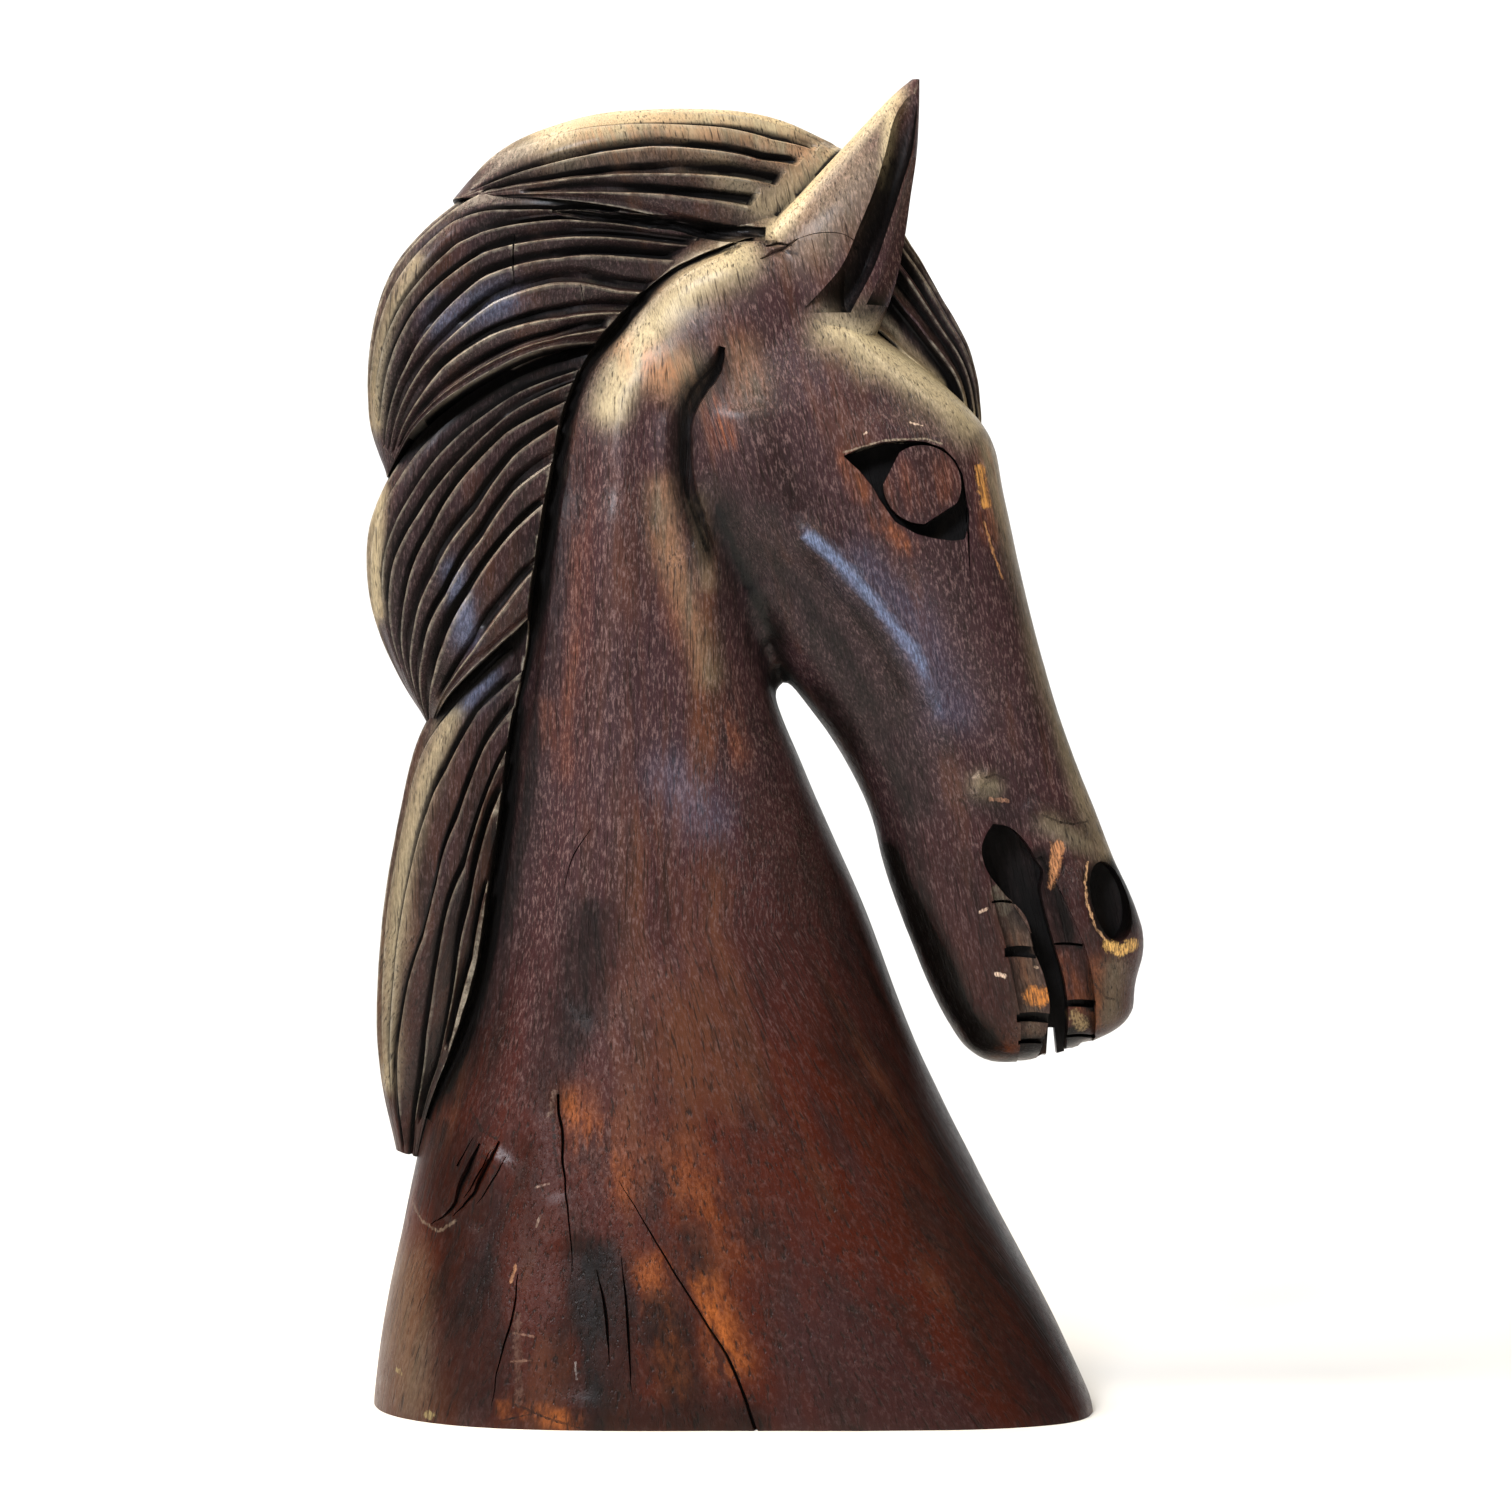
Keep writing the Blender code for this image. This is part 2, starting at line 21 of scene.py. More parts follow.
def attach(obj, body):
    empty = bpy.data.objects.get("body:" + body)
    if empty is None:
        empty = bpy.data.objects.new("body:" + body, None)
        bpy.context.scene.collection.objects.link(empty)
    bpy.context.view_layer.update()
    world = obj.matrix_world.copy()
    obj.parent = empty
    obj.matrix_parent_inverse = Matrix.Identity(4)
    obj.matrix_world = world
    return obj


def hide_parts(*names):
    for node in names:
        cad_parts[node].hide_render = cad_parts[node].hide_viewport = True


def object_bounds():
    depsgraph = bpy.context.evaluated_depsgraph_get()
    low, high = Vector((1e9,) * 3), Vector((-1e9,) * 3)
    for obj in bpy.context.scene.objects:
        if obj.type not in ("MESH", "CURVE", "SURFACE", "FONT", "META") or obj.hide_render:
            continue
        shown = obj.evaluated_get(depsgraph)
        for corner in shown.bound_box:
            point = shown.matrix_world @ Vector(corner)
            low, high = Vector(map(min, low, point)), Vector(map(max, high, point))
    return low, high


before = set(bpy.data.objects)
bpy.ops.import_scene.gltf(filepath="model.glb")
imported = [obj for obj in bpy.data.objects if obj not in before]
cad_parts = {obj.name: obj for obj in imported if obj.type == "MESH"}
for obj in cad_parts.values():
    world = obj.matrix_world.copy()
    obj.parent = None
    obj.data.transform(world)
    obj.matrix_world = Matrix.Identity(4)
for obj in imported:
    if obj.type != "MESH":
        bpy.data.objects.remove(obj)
cad_low, cad_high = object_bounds()
MM = 0.001
SEAM = 1e-7  # nearer than this, in metres, two points of a seam are one
TINY = 1e-9  # keeps a division sound where a length is nothing
RAY_START = -0.3  # far outside the near side, in metres
Array = np.ndarray
Body = bpy.types.Object
Form = bmesh.types.BMesh
Socket = bpy.types.NodeSocket
Place = tuple[float, float]
Line = tuple[Place, ...]
Surface = Callable[[float, float], float]
log = logging.getLogger("horse")


class Profile(Enum):
    """The shape that a tool leaves across its cut."""

    VEE = "vee"
    ROUND = "round"
    FLAT = "flat"
    SLOPE = "slope"


COLUMNS = {Profile.VEE: 3, Profile.ROUND: 13, Profile.FLAT: 7, Profile.SLOPE: 11}


class Join(Enum):
    """How one body meets another."""

    ADD = "UNION"
    CUT = "DIFFERENCE"


def smooth_rows(rows: Array, keys: Array) -> Array:
    """Rows between listed ones, on a smooth curve.

    Args:
        rows: The listed rows, each with its key first.
        keys: The keys at which rows are wanted.

    Returns:
        One row for each key.
    """
    rows = np.asarray(rows, dtype=float)
    stations = rows[:, 0]
    slopes = np.gradient(rows, stations, axis=0)
    first = np.clip(np.searchsorted(stations, keys, side="right") - 1, 0, len(stations) - 2)
    gap = (stations[first + 1] - stations[first])[:, None]
    t = (np.asarray(keys, dtype=float) - stations[first])[:, None] / gap
    ahead = t * t * (3 - 2 * t)
    return (
        (1 - ahead) * rows[first]
        + ahead * rows[first + 1]
        + gap * t * (1 - t) ** 2 * slopes[first]
        - gap * t * t * (1 - t) * slopes[first + 1]
    )


def curve_through(points: object, at: Array) -> Array:
    """Places on a smooth curve through listed points or values.

    Args:
        points: Points, or single values evenly spread.
        at: Fractions of the curve's length.

    Returns:
        One place for each fraction.
    """
    points = np.asarray(points, dtype=float)
    if points.ndim == 1:
        points = points[:, None]
        way = np.linspace(0.0, 1.0, len(points))
    else:
        steps = np.linalg.norm(np.diff(points, axis=0), axis=1)
        way = np.concatenate(([0.0], np.cumsum(steps))) / steps.sum()
    return smooth_rows(np.column_stack((way, points)), at)[:, 1:]


def section(
    angles: Array,
    ends: tuple[float, float, float],
    half_width: float,
    squares: tuple[float, float],
) -> tuple[Array, Array]:
    """Points round a level section of the wood.

    Args:
        angles: Where on the section, from the front round by the far side.
        ends: Its rear, its widest place and its front along x.
        half_width: Its reach to each side.
        squares: How boxy its front and its rear are; 2 is an ellipse.

    Returns:
        The points' x and y.
    """
    rear, wide, front = ends
    cosines, sines = np.cos(angles), np.sin(angles)
    power = 2 / np.where(cosines > 0, *squares)
    reach = np.where(cosines > 0, front - wide, wide - rear)
    x = wide + reach * np.sign(cosines) * np.abs(cosines) ** power
    y = half_width * np.sign(sines) * np.abs(sines) ** power
    return x, y


def laid_skin(rings: Array) -> Form:
    """A closed body through rings of points.

    Args:
        rings: Rows of rings, each of points in metres.

    Returns:
        A grid laid on the rings, its seam merged and its ends filled.
    """
    rows, columns = rings.shape[:2]
    form = bmesh.new()
    bmesh.ops.create_grid(form, x_segments=columns, y_segments=rows - 1, size=1.0)
    for vert in form.verts:
        column = round((vert.co.x + 1) / 2 * columns) % columns
        row = round((vert.co.y + 1) / 2 * (rows - 1))
        vert.co = rings[row, column]
    bmesh.ops.remove_doubles(form, verts=form.verts[:], dist=SEAM)
    bmesh.ops.holes_fill(form, edges=[edge for edge in form.edges if edge.is_boundary], sides=0)
    bmesh.ops.recalc_face_normals(form, faces=form.faces[:])
    return form


def as_object(name: str, form: Form) -> Body:
    """An object that holds the bmesh, in flat facets, and frees it.

    Args:
        name: The object's name.
        form: The bmesh.

    Returns:
        The object.
    """
    bmesh.ops.triangulate(form, faces=form.faces[:])
    mesh = bpy.data.meshes.new(name)
    form.to_mesh(mesh)
    form.free()
    obj = bpy.data.objects.new(name, mesh)
    bpy.context.scene.collection.objects.link(obj)
    return obj


def plate(name: str, outline: Array | Line, low: float, high: float, lean: float = 0.0) -> Body:
    """An object from a side outline drawn out along y, all in millimetres.

    Args:
        name: Its name.
        outline: Its points in x and z.
        low: Where it starts.
        high: Where it ends.
        lean: How far it shifts along x for each length along y.

    Returns:
        The closed body as an object.
    """
    form = bmesh.new()
    corners = [form.verts.new((x * MM, low * MM, z * MM)) for x, z in outline]
    face = form.faces.new(corners)
    drawn = bmesh.ops.extrude_face_region(form, geom=[face])
    moved = [item for item in drawn["geom"] if isinstance(item, bmesh.types.BMVert)]
    deep = high * MM - low * MM
    bmesh.ops.translate(form, vec=(lean * deep, deep, 0), verts=moved)
    bmesh.ops.recalc_face_normals(form, faces=form.faces[:])
    return as_object(name, form)


def take_modifiers(obj: Body) -> None:
    """Makes what the object's modifiers do part of its mesh.

    Args:
        obj: The object.
    """
    depsgraph = bpy.context.evaluated_depsgraph_get()
    depsgraph.update()
    mesh = bpy.data.meshes.new_from_object(obj.evaluated_get(depsgraph))
    spent = obj.data
    obj.modifiers.clear()
    obj.data = mesh
    bpy.data.meshes.remove(spent)


def combine(target: Body, tool: Body, join: Join) -> None:
    """Adds the tool to the target, or cuts it out, and removes the tool.

    Args:
        target: The body that stays.
        tool: The body that meets it.
        join: Whether the tool is added or cut out.
    """
    boolean = target.modifiers.new(tool.name, "BOOLEAN")
    boolean.operation = join.value
    boolean.solver = "MANIFOLD"
    boolean.object = tool
    take_modifiers(target)
    bpy.data.objects.remove(tool, do_unlink=True)


def form_of(obj: Body) -> Form:
    """A bmesh with an object's form.

    Args:
        obj: The object.

    Returns:
        The bmesh, which the caller frees.
    """
    form = bmesh.new()
    form.from_mesh(obj.data)
    return form


def tree_of(obj: Body) -> BVHTree:
    """A tree that finds where a ray meets an object.

    Args:
        obj: The object.

    Returns:
        The tree.
    """
    form = form_of(obj)
    tree = BVHTree.FromBMesh(form)
    form.free()
    return tree


def mirrored(obj: Body) -> Body:
    """The same body on the other side of the middle plane.

    Args:
        obj: The body.

    Returns:
        The other body.
    """
    form = form_of(obj)
    bmesh.ops.transform(form, matrix=Matrix.Scale(-1, 4, (0, 1, 0)), verts=form.verts[:])
    bmesh.ops.reverse_faces(form, faces=form.faces[:])
    return as_object(obj.name + "_far", form)


def cut_both_sides(target: Body, cutter: Body) -> None:
    """Cuts the far side and the near side alike."""
    combine(target, mirrored(cutter), Join.CUT)
    combine(target, cutter, Join.CUT)


def places_of(obj: Body) -> Array:
    """The places of an object's points, in metres.

    Args:
        obj: The object.

    Returns:
        A row for each point.
    """
    places = np.empty(len(obj.data.vertices) * 3, dtype=np.float32)
    obj.data.vertices.foreach_get("co", places)
    return places.reshape(-1, 3).astype(float)


def put_places(obj: Body, places: Array) -> None:
    """Moves an object's points to new places, in metres."""
    obj.data.vertices.foreach_set("co", places.astype(np.float32).ravel())
    obj.data.update()


def normals_of(obj: Body) -> Array:
    """The outward directions at an object's points.

    Args:
        obj: The object.

    Returns:
        A row for each point.
    """
    normals = np.empty(len(obj.data.vertices) * 3, dtype=np.float32)
    obj.data.vertex_normals.foreach_get("vector", normals)
    return normals.reshape(-1, 3).astype(float)


def ripple(places: Array, scale: tuple[float, float, float], seed: float) -> Array:
    """Smooth noise from -1 to 1 at places in metres, finer where the scale is greater."""
    moved = places * np.asarray(scale) + seed
    return np.array([noise.noise(Vector(place)) for place in moved])


def off_line(places: Array, line: Line, count: int = 40) -> tuple[Array, Array]:
    """How far places on the side are from a line.

    Args:
        places: Places in metres.
        line: The line in millimetres.
        count: How many points stand for the line.

    Returns:
        The distance in millimetres, and how far along the line the nearest point is, from 0 to 1.
    """
    at = np.linspace(0, 1, count)
    knots = curve_through(line, at) if len(line) > 2 else np.array(line[0]) + at[:, None] * (
        np.array(line[1]) - np.array(line[0])
    )
    side = places[:, (0, 2)] / MM
    best = np.full(len(side), np.inf)
    along = np.zeros(len(side))
    for step, (start, end) in enumerate(zip(knots, knots[1:])):
        way = end - start
        part = np.clip((side - start) @ way / max(way @ way, TINY), 0, 1)
        gap = np.linalg.norm(side - start - part[:, None] * way, axis=1)
        nearer = gap < best
        best[nearer] = gap[nearer]
        along[nearer] = (step + part[nearer]) / (count - 1)
    return best, along


def laid(kind: type, *rows: tuple) -> tuple:
    """Things laid along lines, each from a row.

    Args:
        kind: What they are.
        rows: For each, its line as x, z, x, z and so on, and then the kind's own values.

    Returns:
        The things, in the rows' order.
    """
    return tuple(kind(tuple(zip(line[::2], line[1::2])), *values) for line, *values in rows)


@dataclass(frozen=True)
class Cut:
    """One stroke of a tool over the near side.

    The tremor moves its middle line to and fro, and the chatter roughens its bottom. The cutter's
    rim stands a little over the wood, and its back well outside.
    """

    name: str
    line: Line
    half_widths: tuple[float, ...]
    depths: tuple[float, ...]
    profile: Profile = Profile.VEE
    rows: int = 24
    tremor: float = 0.0
    chatter: float = 0.0
    rim: float = 0.4
    back: float = 12.0
    steep_end: float = 0.99
    slope_power: float = 1.3

    def body(self, surface: Surface) -> Body:
        """The cutter, from outside the wood down to the bottom of the cut.

        Args:
            surface: Gives how far the wood reaches to the near side at an x and z.

        Returns:
            The cutter as an object.
        """
        at = np.linspace(0, 1, self.rows)
        middle = curve_through(self.line, at)
        half = curve_through(self.half_widths, at)[:, 0]
        depth = curve_through(self.depths, at)[:, 0]
        ahead = np.gradient(middle, axis=0)
        ahead /= np.linalg.norm(ahead, axis=1, keepdims=True)
        over = np.column_stack((-ahead[:, 1], ahead[:, 0]))
        columns = COLUMNS[self.profile]
        across = np.linspace(-1, 1, columns)
        if self.profile is Profile.VEE:
            sink = 1 - np.abs(across)
        elif self.profile is Profile.ROUND:
            sink = np.sqrt(1 - across**2)
        elif self.profile is Profile.SLOPE:
            rise = np.sin((across + 1) / 2 * math.pi / 2) ** self.slope_power
            sink = np.where(across < self.steep_end, rise, 0.0)
        else:
            sink = np.ones(columns)
        rings = np.zeros((self.rows, columns + 2, 3))
        lift = self.rim * (self.profile is not Profile.FLAT)
        for row in range(self.rows):
            shake = noise.noise(Vector((row * 0.37, half[row], depth[row]))) * self.tremor
            spots = middle[row] + over[row] * (across[:, None] * half[row] + shake)
            reach = np.array([surface(x, z) for x, z in spots])
            marks = np.array([
                noise.noise(Vector((column * 1.7, row * 0.16, 4.2))) for column in range(columns)
            ])
            bottom = (depth[row] + marks * self.chatter) * sink
            rings[row, :columns, (0, 2)] = spots.T
            rings[row, :columns, 1] = -reach + bottom - lift * (1 - sink)
            rings[row, columns:, (0, 2)] = spots[(-1, 0), :].T
            rings[row, columns:, 1] = -reach.max() - self.back
        return as_object(self.name, laid_skin(rings * MM))


@dataclass(frozen=True)
class Swell:
    """A soft ridge, or a hollow where it is negative, along a line on the sides."""

    line: Line
    radius: float
    height: float

    def push(self, places: Array, sideways: Array) -> Array:
        """How far each place moves out, in metres, given how squarely it faces sideways.

        Args:
            places: The places.
            sideways: How squarely each faces sideways, from 0 to 1.

        Returns:
            A length for each place.
        """
        gap, along = off_line(places, self.line, 16)
        ends = np.clip(np.sin(np.clip(along, 0.02, 0.98) * math.pi) * 3, 0.25, 1)
        return self.height * MM * np.exp(-((gap / self.radius) ** 2)) * ends * sideways


@dataclass
class Trunk:
    """The head and the neck, cut from the log as one, before the hair and the ears.

    Both half widths of a loft are given, low down and high up: foot and neck, muzzle and head. Its
    sections are listed from the bottom: height, rear, widest place and front, shares of the two
    half widths, and how boxy the front and the rear are.
    """

    neck_widths: tuple[float, float] = (77.0, 46.0)
    head_widths: tuple[float, float] = (28.0, 44.0)
    grain_step: float = 3.1
    below: float = 8.0
    crease_low: float = 284.0
    crease_rear: float = -45.0
    crease_front: float = 70.0
    crease_step: float = 9.0
    crease_passes: int = 14
    all_passes: int = 3
    neck: tuple = (
        (0, -135.5, -20, 138.5, 1.00, 0.00, 5.0, 2.9),
        (30, -132, -19, 125, 0.90, 0.06, 4.0, 2.8),
        (75, -123, -16, 101.5, 0.55, 0.46, 3.0, 2.6),
        (130, -112.5, -15, 74, 0.21, 0.84, 2.6, 2.4),
        (190, -104, -20, 51, 0.06, 1.00, 2.5, 2.3),
        (240, -98, -28, 29, 0.00, 1.00, 2.4, 2.3),
        (277, -93, -34, 16, 0.00, 0.97, 2.3, 2.3),
        (300, -90, -34, 16, 0.00, 0.96, 2.3, 2.3),
        (330, -86, -34, 18, 0.00, 0.95, 2.3, 2.3),
        (370, -76, -26, 24, 0.00, 0.94, 2.3, 2.3),
        (392, -65, -12, 36, 0.00, 0.93, 2.3, 2.3),
        (410, -52, 6, 46, 0.00, 0.91, 2.4, 2.3),
        (440, -30, 16, 50, 0.00, 0.78, 2.4, 2.3),
        (456, -6, 22, 44, 0.00, 0.50, 2.2, 2.2),
    )
    head: tuple = (
        (127.5, 99, 106, 114, 0.34, 0.00, 2.0, 2.0),
        (132, 92, 107, 129, 0.66, 0.00, 2.3, 2.2),
        (140, 86, 109, 148, 0.84, 0.00, 2.6, 2.3),
        (159, 76, 110, 156, 0.96, 0.00, 2.7, 2.3),
        (174, 70, 112, 159.5, 1.00, 0.00, 2.7, 2.2),
        (190, 64, 108, 155, 0.98, 0.00, 2.8, 2.2),
        (205, 59, 100, 148, 0.92, 0.00, 3.0, 2.2),
        (221, 55, 92, 142, 0.88, 0.00, 3.1, 2.2),
        (251, 40, 80, 130, 0.52, 0.30, 3.2, 2.2),
        (282, 17, 68, 120.5, 0.12, 0.70, 3.3, 2.6),
        (313, -1, 52, 112.5, 0.00, 0.90, 3.5, 3.6),
        (344, -16, 40, 105.5, 0.00, 1.00, 3.6, 5.0),
        (370, -26, 34, 98.5, 0.00, 1.00, 3.2, 5.5),
        (388, -20, 28, 81.5, 0.00, 0.96, 2.8, 4.0),
        (405, -6, 26, 60, 0.00, 0.88, 2.6, 2.6),
        (422, 8, 26, 40, 0.00, 0.74, 2.4, 2.3),
    )
    swells: tuple[Swell, ...] = laid(Swell,
        ((22, 334, 40, 316, 62, 290, 78, 262), 8.5, 2.6),
        ((20, 336, 34, 324, 50, 307, 68, 286, 79, 264, 83, 246), 3.6, 2.2),
        ((24, 320, 38, 304, 54, 284, 68, 260), 5.0, -1.8), ((78, 262, 86, 244, 92, 228), 7.0, 1.4),
        ((14, 322, 32, 300, 54, 270, 66, 244), 8.0, -2.2), ((62, 314, 80, 288, 92, 262), 9.0, -1.4),
        ((74, 346, 76, 346), 17.0, -1.8), ((38, 410, 62, 396, 92, 372), 7.0, 2.2),
        ((44, 374, 64, 376, 84, 366), 6.0, -1.0), ((93, 236, 97, 234), 7.0, 3.0),
        ((110, 226, 126, 219, 137, 213), 6.0, 2.4), ((133, 206, 135, 190, 139, 176), 3.4, 1.6),
        ((146, 208, 153, 192, 150, 174), 4.0, 1.2),
        ((92, 214, 95, 198, 100, 182, 106, 160), 4.0, 1.0),
        ((126, 200, 135, 184, 142, 164), 4.0, 0.9),
        ((60, 207, 80, 175, 92, 150, 103, 142), 5.0, 1.2), ((70, 190, 84, 162, 94, 148), 5.0, -1.2),
        ((-24, 384, -29, 362, -27, 340, -14, 316), 7.0, -2.6),
        ((-12, 350, -2, 328, 12, 306), 8.0, -2.0), ((8, 378, 10, 350, 16, 334), 12.0, 1.8),
        ((-52, 372, -56, 330, -58, 280, -66, 230, -80, 170, -96, 128), 7.0, -2.6),
        ((-44, 392, -30, 412, -8, 424, 10, 428), 7.0, 1.6),
        ((-44, 350, -42, 260, -36, 190), 13.0, 2.0), ((-62, 150, -30, 172, -8, 190), 13.0, -1.4),
        ((20, 250, 36, 190, 62, 120), 14.0, -1.6), ((-84, 100, -96, 82, -106, 72), 7.0, 1.6),
        ((-76, 104, -84, 84, -96, 68), 6.0, -1.0), ((-58, 70, -52, 40, -56, 8), 8.0, -1.2),
        ((-64, 120, -62, 80), 5.0, -0.8),
    )

    def half_width_at(
        self, stations: tuple, widths: tuple[float, float], x: float, z: float
    ) -> float:
        """How far a loft reaches sideways.

        Args:
            stations: The loft's listed sections.
            widths: Its half widths low down and high up.
            x: Place along the horse.
            z: Height.

        Returns:
            The reach in millimetres, 0 outside the loft.
        """
        if not stations[0][0] <= z <= stations[-1][0]:
            return 0.0
        row = smooth_rows(stations, np.array([float(z)]))[0]
        _, rear, wide, front, low_part, high_part, front_square, rear_square = row
        half = low_part * widths[0] + high_part * widths[1]
        square = front_square if x > wide else rear_square
        reach = (front if x > wide else rear) - wide
        return half * max(0.0, 1 - abs((x - wide) / reach) ** square) ** (1 / square)

    def loft(
        self, name: str, stations: tuple, widths: tuple[float, float], rings: int, points: int
    ) -> Body:
        """A body through level sections.

        Args:
            name: The body's name.
            stations: Its listed sections.
            widths: Its half widths low down and high up.
            rings: How many sections it gets.
            points: How many points go round each.

        Returns:
            The body as an object.
        """
        listed = [row[0] for row in stations]
        heights = np.interp(np.linspace(0, len(listed) - 1, rings), range(len(listed)), listed)
        angles = (np.arange(points) + 0.5) * 2 * math.pi / points
        places = np.zeros((rings, points, 3))
        for ring, row in zip(places, smooth_rows(stations, heights)):
            half = row[4] * widths[0] + row[5] * widths[1]
            ring[:, 0], ring[:, 1] = section(angles, tuple(row[1:4]), half, (row[6], row[7]))
            ring[:, 2] = row[0]
        if stations is self.neck:
            places[0, :, 2] -= self.below
        return as_object(name, laid_skin(places * MM))

    def soften(self, obj: Body) -> None:
        """Blends the crease between cheek and neck above the groove, and the remesh's steps.

        Args:
            obj: The trunk.
        """
        form = form_of(obj)
        above = []
        for vert in form.verts:
            x, z = vert.co.x / MM, vert.co.z / MM
            if z < self.crease_low or not self.crease_rear <= x <= self.crease_front:
                continue
            neck = self.half_width_at(self.neck, self.neck_widths, x, z)
            head = self.half_width_at(self.head, self.head_widths, x, z)
            if abs(neck - head) < self.crease_step:
                above.append(vert)
        for verts, passes in ((above, self.crease_passes), (form.verts[:], self.all_passes)):
            for _ in range(passes):
                bmesh.ops.smooth_vert(
                    form, verts=verts, factor=0.5, use_axis_x=True, use_axis_y=True, use_axis_z=True
                )
        form.to_mesh(obj.data)
        form.free()

    def model(self, obj: Body) -> None:
        """Raises the ridges and sinks the hollows of the face and the neck.

        Args:
            obj: The trunk.
        """
        places = places_of(obj)
        normals = normals_of(obj)
        sideways = np.clip(np.abs(normals[:, 1]) * 1.3 - 0.2, 0, 1)
        push = np.zeros(len(places))
        for swell in self.swells:
            push += swell.push(places, sideways)
        push += ripple(places, (30, 30, 16), 3.1) * 0.5 * MM
        push += ripple(places, (90, 90, 40), 9.7) * 0.16 * MM
        put_places(obj, places + normals * push[:, None])

    def build(self) -> Body:
        """The trunk as one closed body, a little longer than the foot.

        Returns:
            The trunk as an object.
        """
        trunk = self.loft("carving", self.neck, self.neck_widths, 150, 132)
        combine(trunk, self.loft("head", self.head, self.head_widths, 110, 112), Join.ADD)
        remesh = trunk.modifiers.new("even", "REMESH")
        remesh.mode = "VOXEL"
        remesh.voxel_size = self.grain_step * MM
        take_modifiers(trunk)
        self.soften(trunk)
        self.model(trunk)
        return trunk


def surface_of(obj: Body) -> Surface:
    """Gives a function that finds how far an object reaches to the near side, in millimetres.

    Args:
        obj: The object.

    Returns:
        The function, of an x and a z in millimetres.
    """
    tree = tree_of(obj)

    def reach(x: float, z: float) -> float:
        """How far the wood reaches at an x and z, in millimetres."""
        hit = tree.ray_cast(Vector((x * MM, RAY_START, z * MM)), Vector((0, 1, 0)))[0]
        return 0.0 if hit is None else -hit.y / MM

    return reach


